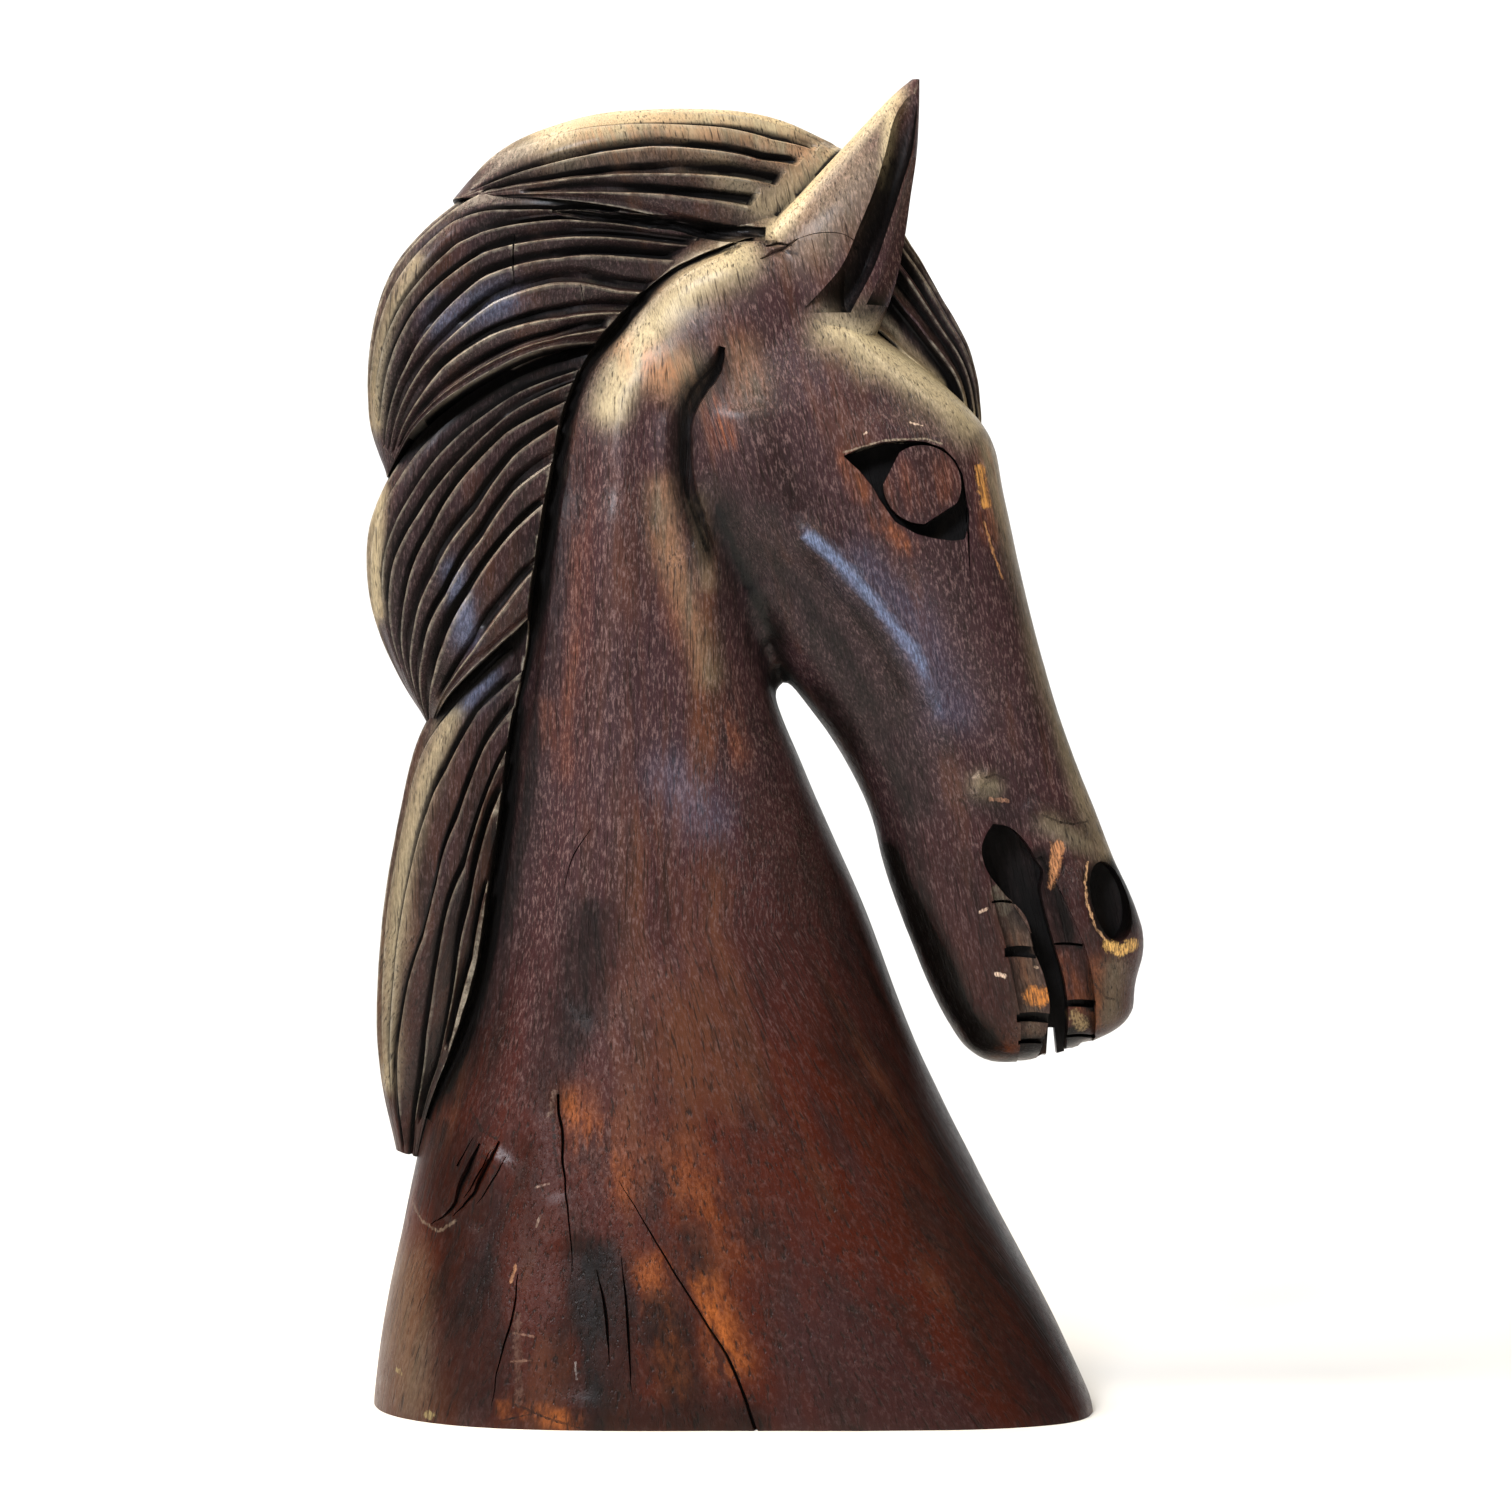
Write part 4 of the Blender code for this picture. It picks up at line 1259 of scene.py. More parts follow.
@dataclass
class Age:
    """Drying cracks, the knot and the nicks."""

    on_both_sides: tuple[str, ...] = ("long_crack", "short_crack")
    cracks: tuple[Cut, ...] = (
        Cut("long_crack", ((-40, 89), (-27, 68), (-13, 46), (1, 24), (12, -4)),
            (0.2, 0.4, 0.5, 0.7, 0.8), (0.8, 2.2, 2.6, 3.0, 3.2), rows=30, tremor=0.5),
        Cut("rear_crack", ((-63, 120), (-61.5, 104), (-60, 86), (-58, 70), (-57, 56)),
            (0.7, 0.8, 0.5, 0.4, 0.2), (2.4, 2.6, 2.0, 1.6, 0.8), rows=26, tremor=0.8),
        Cut("low_crack", ((-77, 55), (-79, 40), (-84, 22), (-86, 8)),
            (0.3, 0.6, 0.4, 0.2), (1.0, 2.0, 1.6, 0.8), rows=18, tremor=0.6),
        Cut("short_crack", ((-48, 57), (-45, 44), (-43, 24)), (0.2, 0.8, 0.2), (0.8, 2.2, 0.8),
            rows=12, tremor=0.3),
        Cut("short_crack_b", ((-39, 62), (-37, 44), (-35, 14)), (0.2, 0.7, 0.2), (0.8, 2.0, 0.8),
            rows=12, tremor=0.3),
        Cut("eye_crack", ((89.6, 338), (90, 326), (90.6, 312)), (0.5, 0.5, 0.2), (2.6, 1.8, 0.6),
            rows=12),
        Cut("ear_chip", ((12, 431), (18, 434), (26, 438.5)), (0.4, 1.5, 0.4), (0.8, 1.8, 0.6),
            rows=10, tremor=0.8),
        Cut("ear_chip_b", ((14, 436), (20, 437), (24, 436)), (0.4, 1.0, 0.3), (0.8, 1.6, 0.6),
            rows=8, tremor=0.5),
        Cut("ear_arc", ((24, 438), (34, 440.5), (44, 439.5), (49, 436)), (0.15, 0.25, 0.25, 0.15),
            (0.4, 0.7, 0.6, 0.3),
            rows=14),
        Cut("neck_check", ((-51, 218), (-58, 207), (-61, 196)), (0.2, 0.4, 0.2), (0.6, 1.0, 0.4),
            rows=10, tremor=0.3),
    )
    knot: tuple[Cut, ...] = (
        Cut("knot_upper", ((-92, 101), (-98, 88), (-103, 76.5), (-111, 70)), (0.5, 1.7, 1.0, 0.25),
            (1.6, 3.6, 2.4, 0.6),
            rows=20, tremor=0.6),
        Cut("knot_lower", ((-84.5, 102), (-89, 93.5), (-94, 83.5), (-102, 74)),
            (0.6, 1.3, 0.9, 0.25), (1.6, 3.2, 2.2, 0.6),
            rows=20, tremor=0.6),
        Cut("knot_between", ((-88, 99), (-93, 89), (-98, 81)), (0.2, 0.6, 0.2), (0.8, 1.6, 0.6),
            rows=12, tremor=0.5),
        Cut("knot_side", ((-82, 97), (-87, 88), (-93, 79)), (0.2, 0.5, 0.2), (0.6, 1.4, 0.5),
            rows=12, tremor=0.4),
        Cut("knot_over", ((-95, 103), (-101, 92)), (0.2, 0.6), (0.6, 1.4), rows=8, tremor=0.4),
    )

    def carve(self, carving: Body) -> None:
        """Opens the cracks on the near side and two of them on the far side.

        Args:
            carving: The carving.
        """
        surface = surface_of(carving)
        for cut in self.cracks + self.knot:
            cutter = cut.body(surface)
            if cut.name in self.on_both_sides:
                cut_both_sides(carving, cutter)
            else:
                combine(carving, cutter, Join.CUT)


@dataclass(frozen=True)
class Patch:
    """A soft area of another tone, placed on the near side.

    Where within is given, only wood nearer the middle plane than that takes the tone. A greater
    power gives a crisper edge.
    """

    line: Line
    radius: float
    strength: float
    within: float = 200.0
    power: float = 2.0

    def mask(self, places: Array) -> Array:
        """How strong the tone is at each place, from 0 to its strength.

        Args:
            places: Places in metres.

        Returns:
            A value for each place.
        """
        gap, _ = off_line(places, self.line, 12)
        ragged = 1 + 0.4 * ripple(places, (70, 70, 26), self.radius)
        inner = np.abs(places[:, 1]) < self.within * MM
        return inner * self.strength * np.exp(-((gap / (self.radius * ragged)) ** self.power))


@dataclass
class Patina:
    """What age and hands did to the stain, and painted light and shade, kept as values on the
    carving's points.

    Rubbed patches and the painted blue sheen are on the near side only; faded patches, partly
    painted highlight, and stained ones, partly painted shade, are fainter on the far side too. The
    shade is painted shade in the hollows, and the edge value makes edges pale, as wear and painted
    highlight.
    """

    rays: int = 18
    ray_length: float = 20.0
    ray_lift: float = 0.0003
    lowest_ray: float = 0.92
    distant_loss: float = 0.6
    edge_gain: float = 2.2
    edge_floor: float = 0.12
    # How much of the faded tone and its painted highlight the far side gets.
    far_faded_and_highlight: float = 0.3
    # How much of the stain and its painted shade the far side gets.
    far_stain_and_shade: float = 0.4
    middle_band: float = 0.01
    hair_stain: float = 0.5
    # How much of the pale edges, wear and painted highlight, the wood off the hair gets.
    body_wear_and_highlight: float = 0.2
    between_ears: float = 15.0
    forelock_side: float = 18.0
    forelock_edge: Line = ((89, 366), (81, 384), (65, 398), (45, 416), (29, 432), (20, 480))
    rubbed: tuple[Patch, ...] = laid(Patch,
        ((-9, 52, 1, 24), 5.5, 0.95), ((-29, 56, -17, 16), 6, 0.45), ((-24, 60, -12, 52), 5, 0.5),
        ((-58, 117, -50, 100), 6, 0.55), ((-48, 108, -38, 86), 7, 0.3),
        ((57, 333, 66, 324), 3.5, 0.5), ((43, 356, 50, 343), 3, 0.35), ((-20, 96, 4, 70), 12, 0.25),
        ((-38, 396, -22, 388), 8, 0.55), ((4, 398, 6, 384), 7, 0.3),
        ((-25, 345, -22, 320, -16, 300, -8, 275, 0, 248), 7, 0.28), ((-3, 376, 0, 364), 4, 0.5),
        ((-50, 478, -10, 480, 30, 474), 9, 0.3), ((72.5, 346.5, 72.5, 347), 13, 0.22, 200.0, 6),
        ((-56, 292, -60, 262), 4, 0.2), ((-57, 368, -57, 300, -62, 240), 5, 0.12),
        ((-67, 264, -66, 250), 4, 0.25), ((96, 357, 99, 330), 4, 0.4),
        ((139, 168, 139.5, 144), 2.6, 0.5), ((128, 168, 134, 150), 4, 0.3),
        ((108, 176, 114, 160), 3, 0.25), ((92, 138, 104, 133), 5, 0.4),
        ((-80, 7, -57, 3), 4.4, 0.8, 200.0, 5),
    )
    # Faded patches: partly pale worn wax, partly painted highlight where light falls on the crest,
    # brow, ear, crown, the mane's outer strands and the face's front edge.
    faded_and_highlight: tuple[Patch, ...] = laid(Patch,
        ((4, 432, -14, 420, -29, 405, -38, 388, -43, 376), 7.5, 1.0),
        ((-25, 345, -21, 320, -15, 300, -8, 275), 5, 0.25), ((-34, 392, -18, 388), 9, 0.5),
        ((5, 396, 8, 384), 8, 0.15), ((40, 405, 64, 393, 92, 372), 8, 0.85),
        ((46, 404, 66, 394, 84, 383, 93, 374), 4.5, 1.0), ((17, 442, 39, 471, 61, 493), 4.5, 0.95),
        ((30, 440, 52, 466), 12, 0.2), ((59, 461, 61, 485), 3, 0.9),
        ((-64, 487, -20, 490, 20, 486), 17, 0.9), ((-118, 432, -131, 400, -134, 372), 4, 0.6),
        ((-133, 345, -134, 300), 4.5, 0.8),
        ((-104, 262, -118, 225, -126, 180, -130, 120), 4.5, 0.7), ((-12, 340, -8, 310), 4, 0.25),
        ((95, 234, 100, 233), 4, 0.45), ((121, 220, 136, 211), 3.5, 0.45),
        ((146, 164, 144, 146), 5, 0.3), ((126, 217, 137, 213), 3.4, 0.3),
        ((-124, 52, -118, 10), 13, 0.14),
        ((98, 364, 104, 340, 116, 300, 132, 240, 146, 206), 5, 0.45),
        ((104, 190, 112, 170, 116, 136), 5, 0.12), ((-4, 468, 14, 452, 34, 476), 8, 0.5),
    )
    # Painted blue sheen: patches of colour that stand for blue reflections on the cheek ridge, neck
    # and mane.
    painted_sheen: tuple[Patch, ...] = laid(Patch,
       
        ((30, 327, 34, 324, 45, 313.8, 52.3, 305.8, 61.2, 294.5, 67.7, 287.2, 73.3, 278.3),
            2.2, 0.62, 200.0, 3),
        ((68, 287, 74, 277, 80, 262), 4, 0.22), ((50, 316, 72, 290, 84, 262), 8, 0.12),
        ((-22, 238, -6, 222), 9, 0.10), ((-103, 314, -97, 290), 5, 0.28),
        ((-106, 408, -84, 416), 7, 0.25), ((-98, 266, -90, 276), 4, 0.3),
    )
    # Stained patches: real dark stain on the foot and lower neck, and painted shade behind and
    # under the cheek, under the jaw, inside the mouth, nostril, eye and ears, along the mane's edge
    # and over the lower lock.
    stain_and_shade: tuple[Patch, ...] = laid(Patch,
        ((-50, 186, -54, 150), 9, 0.85, 200.0, 3), ((-58, 150, -66, 122), 9, 0.8, 200.0, 3),
        ((-49, 60, -46, 30, -44, 4), 11, 0.95, 200.0, 4), ((-38, 60, -35, 20), 3, 0.8),
        ((-95, 62, -92, 16), 16, 0.75, 200.0, 4), ((-24, 44, -15, 12), 9, 0.85, 200.0, 4),
        ((-40, 5, 8, 3), 8, 0.8, 200.0, 4), ((-14, 70, -9, 57), 5, 0.6),
        ((-74, 100, -74, 60), 7, 0.5), ((-62, 40, -60, 8), 8, 0.45),
        ((-86, 215, -91, 175, -97, 140, -106, 118), 10, 1.0),
        ((-102, 196, -110, 150, -116, 118), 8, 0.9),
        ((26, 322, 42, 305, 52, 294, 60, 282, 66, 270), 4.2, 0.7),
        ((38, 256, 52, 190, 78, 120, 102, 60, 124, 20), 28, 0.9), ((20, 275, 30, 245), 10, 0.6),
        ((-5, 391, -14, 381, -17.5, 360, -16, 346, -8, 322), 6, 1.0),
        ((-4, 338, 5, 316, 17, 291), 12, 1.0), ((-60, 372, -64, 334, -68, 300, -72, 270), 6, 0.75),
        ((30, 290, 50, 250, 66, 210), 10, 0.6),
        ((61, 208, 69, 190, 81, 165, 89, 148, 96, 137), 9, 1.0, 200.0, 6),
        ((117, 204, 121, 192, 126, 178), 6.5, 0.95, 200.0, 6),
        ((104, 322, 118, 280, 128, 242), 10, 0.3), ((36, 413.5, 44, 424), 4.5, 0.95, 36),
        ((50, 411, 58, 414), 4, 0.8), ((16, 336, 34, 300, 52, 262), 22, 0.45),
        ((100, 160, 98, 146), 12, 0.5), ((-70, 330, -74, 250, -90, 160, -110, 112), 5, 0.9),
        ((-108, 98, -96, 74), 18, 0.75, 200.0, 4), ((62, 206, 76, 204), 5, 0.5),
        ((96, 228, 118, 224, 134, 216), 9, 0.5), ((126, 204, 132, 190, 138, 160), 7, 0.45),
        ((-88, 205, -103, 150, -114, 112), 9, 0.85), ((-116, 300, -106, 274), 8, 0.6),
        ((-90, 60, -84, 20), 12, 0.5), ((12, 322, 28, 306, 46, 278, 62, 250, 70, 226), 8, 0.8),
        ((90, 204, 98, 172, 104, 140), 9, 0.5), ((142, 160, 138, 138), 9, 0.5),
        ((100, 205, 108, 192, 118, 170, 124, 130), 24, 1.0, 18, 6),
        ((143.3, 196.8, 146.7, 183.2), 9.4, 1.0, 40, 12), ((50, 357, 58, 347), 12, 1.0, 37.5, 6),
        ((62, 332, 74, 327, 86, 330), 8, 1.0, 36, 6), ((48, 424, 58, 448, 66, 474), 5, 0.6, 37),
    )

    def shade(self, obj: Body) -> Array:
        """How much of the sky each point loses to the wood round it, from 0 to 1.

        Args:
            obj: The carving.

        Returns:
            A value for each point.
        """
        tree = tree_of(obj)
        places, normals = places_of(obj), normals_of(obj)
        steps = np.arange(self.rays) + 0.5
        rise = np.sqrt(1 - steps / self.rays * self.lowest_ray)
        turn = steps * math.pi * (3 - math.sqrt(5))
        flat = np.sqrt(1 - rise**2)
        fan = np.column_stack((flat * np.cos(turn), flat * np.sin(turn), rise))
        helper = np.where(np.abs(normals[:, 2:3]) < 0.9, (0, 0, 1), (1, 0, 0))
        one = np.cross(helper, normals)
        one /= np.maximum(np.linalg.norm(one, axis=1, keepdims=True), TINY)
        other = np.cross(normals, one)
        lost = np.zeros(len(places))
        reach = self.ray_length * MM
        starts = places + normals * self.ray_lift
        for a, b, c in fan:
            ways = one * a + other * b + normals * c
            for number, (start, way) in enumerate(zip(starts, ways)):
                hit = tree.ray_cast(start, way, reach)
                if hit[0] is not None:
                    lost[number] += 1 - self.distant_loss * hit[3] / reach
        return lost / self.rays

    def edges(self, obj: Body) -> Array:
        """How sharply the wood stands out at each point, from 0 to 1.

        Args:
            obj: The carving.

        Returns:
            A value for each point.
        """
        places, normals = places_of(obj), normals_of(obj)
        pairs = np.empty(len(obj.data.edges) * 2, dtype=np.int32)
        obj.data.edges.foreach_get("vertices", pairs)
        pairs = pairs.reshape(-1, 2)
        total = np.zeros(len(places))
        count = np.zeros(len(places))
        for here, there in ((0, 1), (1, 0)):
            way = places[pairs[:, there]] - places[pairs[:, here]]
            length = np.maximum(np.linalg.norm(way, axis=1), 1e-6)
            drop = -(way * normals[pairs[:, here]]).sum(axis=1) / length
            np.add.at(total, pairs[:, here], drop)
            np.add.at(count, pairs[:, here], 1)
        return np.clip(total / np.maximum(count, 1) * self.edge_gain - self.edge_floor, 0, 1)

    def hair(self, places: Array, hairline: Line) -> Array:
        """Which places are on the hair, 1 or 0.

        Args:
            places: Places in metres.
            hairline: The edge of the mane on the neck, from the foot up to the ear.

        Returns:
            One value for each place.
        """
        x, side, z = places[:, 0] / MM, np.abs(places[:, 1]) / MM, places[:, 2] / MM
        edges, heights = zip(*hairline)
        between = (side < self.between_ears) | (x < edges[-1])
        mane = (z > heights[0]) & (x < np.interp(z, heights, edges)) & between
        fronts, levels = zip(*self.forelock_edge)
        ahead = x > np.interp(z, levels, fronts)
        forelock = (z > levels[0]) & (side < self.forelock_side) & ahead
        return (mane | forelock).astype(float)

    def apply(self, obj: Body, hairline: Line) -> None:
        """Writes the values on the carving's points, given the mane's edge.

        Args:
            obj: The carving.
            hairline: The edge of the mane on the neck, from the foot up to the ear.
        """
        places = places_of(obj)
        hair = self.hair(places, hairline)
        near = np.clip(-places[:, 1] / self.middle_band + 0.5, 0, 1)
        tones = {}
        for name, patches, far in (
            ("rubbed", self.rubbed, 0.0), ("faded_and_highlight", self.faded_and_highlight, self.far_faded_and_highlight),
            ("stain_and_shade", self.stain_and_shade, self.far_stain_and_shade), ("painted_sheen", self.painted_sheen, 0.0),
        ):
            side = far + (1 - far) * near
            masks = [patch.mask(places) * side for patch in patches]
            tones[name] = np.maximum.reduce([np.zeros(len(places)), *masks])
        hair_stain = hair * self.hair_stain * (1 - tones["faded_and_highlight"])
        tones["stain_and_shade"] = np.maximum(tones["stain_and_shade"], hair_stain)
        # Edges are made pale in full on the hair and faintly elsewhere: wear, and painted highlight
        # on the strands' upper edges.
        edge = self.edges(obj) * (self.body_wear_and_highlight + (1 - self.body_wear_and_highlight) * hair)
        for name, values in {"shade": self.shade(obj), "edge": edge, **tones}.items():
            layer = obj.data.attributes.new(name, "FLOAT", "POINT")
            layer.data.foreach_set("value", np.asarray(values, dtype=np.float32))


@dataclass(frozen=True)
class Mark:
    """A small crisp mark on the near side: a chip, a worn spot or a drawn line."""

    line: Line
    half_width: float
    colour: tuple[float, float, float]
    ragged: float = 0.8
    strength: float = 1.0
    taper: float = 0.0


# Where the grain of the neck gives way to the head's: a line that leans along the throat, and how
# far past it, in metres, the change starts and ends
THROAT_LEAN = 0.39
THROAT = (0.130, 0.145)


@dataclass
class NodeBench:
    """A short hand for laying out a material's nodes."""

    tree: bpy.types.NodeTree

    def add(self, kind: str, **values: object) -> bpy.types.Node:
        """Adds a node and sets its properties.

        Args:
            kind: The node's type.
            values: Its properties.

        Returns:
            The node.
        """
        node = self.tree.nodes.new(kind)
        for name, value in values.items():
            setattr(node, name, value)
        return node

    def put(self, socket: Socket, value: object) -> None:
        """Links a socket to another, or sets it to a value.

        Args:
            socket: The socket.
            value: Another socket, or the value.
        """
        if isinstance(value, Socket):
            self.tree.links.new(value, socket)
        else:
            socket.default_value = value

    def maths(self, operation: str, one: object, other: object) -> Socket:
        """A Math node's result.

        Args:
            operation: What the node does.
            one: Its first value.
            other: Its second.

        Returns:
            The result.
        """
        node = self.add("ShaderNodeMath", operation=operation)
        self.put(node.inputs[0], one)
        self.put(node.inputs[1], other)
        return node.outputs[0]

    def times(self, one: object, other: object) -> Socket:
        """The product of two values."""
        return self.maths("MULTIPLY", one, other)

    def plus(self, one: object, other: object) -> Socket:
        """The sum of two values."""
        return self.maths("ADD", one, other)

    def spread(
        self, value: object, low: float, high: float, to_low: float = 0.0, to_high: float = 1.0
    ) -> Socket:
        """Maps a value from one range to another, clamped.

        Args:
            value: The value.
            low: Where the range starts; it may be the greater end.
            high: Where it ends.
            to_low: What the start becomes.
            to_high: What the end becomes.

        Returns:
            The mapped value.
        """
        node = self.add("ShaderNodeMapRange", clamp=True)
        for socket, number in zip(node.inputs[:5], (value, low, high, to_low, to_high)):
            self.put(socket, number)
        return node.outputs[0]

    def blend(self, part: object, one: object, other: object) -> Socket:
        """Mixes two colours.

        Args:
            part: The other colour's part, from 0 to 1.
            one: A colour.
            other: The other colour.

        Returns:
            The mix.
        """
        node = self.add("ShaderNodeMix", data_type="RGBA")
        self.put(node.inputs[0], part)
        self.put(node.inputs[6], one)
        self.put(node.inputs[7], other)
        return node.outputs[2]

    def split_place(self) -> Iterator[Socket]:
        """The object's own x, y and z.

        Returns:
            The three, in that order.
        """
        split = self.add("ShaderNodeSeparateXYZ")
        self.put(split.inputs[0], self.add("ShaderNodeTexCoord").outputs["Object"])
        return iter(split.outputs)

    def fanned(self, top: Place, reach: float, lean: float) -> Socket:
        """The object's own coordinates with the grain's lines drawn parallel.

        Args:
            top: The place, in millimetres, from which the grain of the neck fans out.
            reach: How far below it the fan starts, in millimetres.
            lean: How much the grain of the head leans.

        Returns:
            Coordinates in which every line of the grain is upright.
        """
        x, y, z = self.split_place()
        below = self.maths("SUBTRACT", top[1] * MM, z)
        spread = self.maths("MAXIMUM", self.maths("DIVIDE", below, reach * MM), 1.0)
        neck = self.maths("DIVIDE", self.maths("SUBTRACT", x, top[0] * MM), spread)
        head = self.plus(x, self.times(z, lean))
        across = self.plus(x, self.times(z, THROAT_LEAN))
        on_head = self.spread(across, *THROAT)
        on_neck = self.maths("SUBTRACT", 1.0, on_head)
        joined = self.add("ShaderNodeCombineXYZ")
        upright = self.plus(self.times(on_head, head), self.times(on_neck, neck))
        for socket, value in zip(joined.inputs, (upright, y, z)):
            self.put(socket, value)
        return joined.outputs[0]

    def grain(
        self, scale: tuple[float, float, float], detail: float, rough: float, shift: float,
        spot: Socket | None = None,
    ) -> Socket:
        """Noise on the object's own coordinates, or on those given.

        Args:
            scale: How fine it is along each axis.
            detail: How many layers of finer noise it has.
            rough: How strong those are.
            shift: Moves it, so that no two grains fall together.
            spot: The coordinates, where they aren't the object's own.

        Returns:
            The noise, about one half.
        """
        mapping = self.add("ShaderNodeMapping")
        self.put(mapping.inputs["Vector"], spot or self.add("ShaderNodeTexCoord").outputs["Object"])
        self.put(mapping.inputs["Scale"], scale)
        self.put(mapping.inputs["Location"], (shift, shift * 0.7, shift * 1.3))
        node = self.add("ShaderNodeTexNoise")
        for name, value in (
            ("Vector", mapping.outputs[0]), ("Scale", 1.0), ("Detail", detail),
                ("Roughness", rough),
        ):
            self.put(node.inputs[name], value)
        return node.outputs[0]

    def vector(self, operation: str, one: object, other: object,
        out: int = 0) -> Socket:
        """A Vector Math node's result.

        Args:
            operation: What the node does.
            one: Its first value.
            other: Its second.
            out: Which of its results is wanted.

        Returns:
            The result.
        """
        node = self.add("ShaderNodeVectorMath", operation=operation)
        self.put(node.inputs[0], one)
        self.put(node.inputs[3 if operation == "SCALE" else 1], other)
        return node.outputs[out]

    def side_view(self) -> Socket:
        """The object's own coordinates without their depth."""
        coords = self.add("ShaderNodeTexCoord")
        return self.vector("MULTIPLY", coords.outputs["Object"], (1, 0, 1))

    def near_side(self) -> Socket:
        """1 on the near side of the middle plane, 0 beyond it."""
        _, y, _ = self.split_place()
        return self.spread(y, 0.0, -0.006)

    def mark(
        self, spot: Socket, mark: Mark, ragged: Socket
    ) -> Socket:
        """Where a mark lies.

        Args:
            spot: The coordinates without their depth.
            mark: The mark.
            ragged: A noise about zero that frays the mark's edge.

        Returns:
            1 inside the mark and 0 outside.
        """
        nearest = None
        for (start_x, start_z), (end_x, end_z) in zip(mark.line, mark.line[1:]):
            way = np.array((end_x - start_x, 0, end_z - start_z)) * MM
            start = self.vector("SUBTRACT", spot, (start_x * MM, 0, start_z * MM))
            along = self.vector("DOT_PRODUCT", start, tuple(way / (way @ way)), 1)
            along = self.maths("MINIMUM", self.maths("MAXIMUM", along, 0.0), 1.0)
            reached = self.vector("SCALE", tuple(way), along)
            gap = self.vector("DISTANCE", start, reached, 1)
            if mark.taper:
                gap = self.plus(gap, self.times(along, mark.taper * mark.half_width * MM))
            nearest = gap if nearest is None else self.maths("MINIMUM", nearest, gap)
        edge = mark.half_width * MM
        frayed = self.add("ShaderNodeMath", operation="MULTIPLY_ADD")
        for socket, value in zip(frayed.inputs, (ragged, 3.0 * mark.ragged * edge, nearest)):
            self.put(socket, value)
        # A smooth step and the two limits above need no clamping nodes, which a long material
        # holds only so many of.
        inside = self.add("ShaderNodeMapRange", interpolation_type="SMOOTHSTEP")
        values = (frayed.outputs[0], edge * 1.1, edge * 0.6, 0.0, mark.strength)
        for socket, value in zip(inside.inputs[:5], values):
            self.put(socket, value)
        return inside.outputs[0]

    def height(self) -> Socket:
        """How high above the foot, in metres."""
        _, _, z = self.split_place()
        return z

    def value_of(self, name: str) -> Socket:
        """A value kept on the mesh's points."""
        return self.add("ShaderNodeAttribute", attribute_name=name).outputs["Fac"]


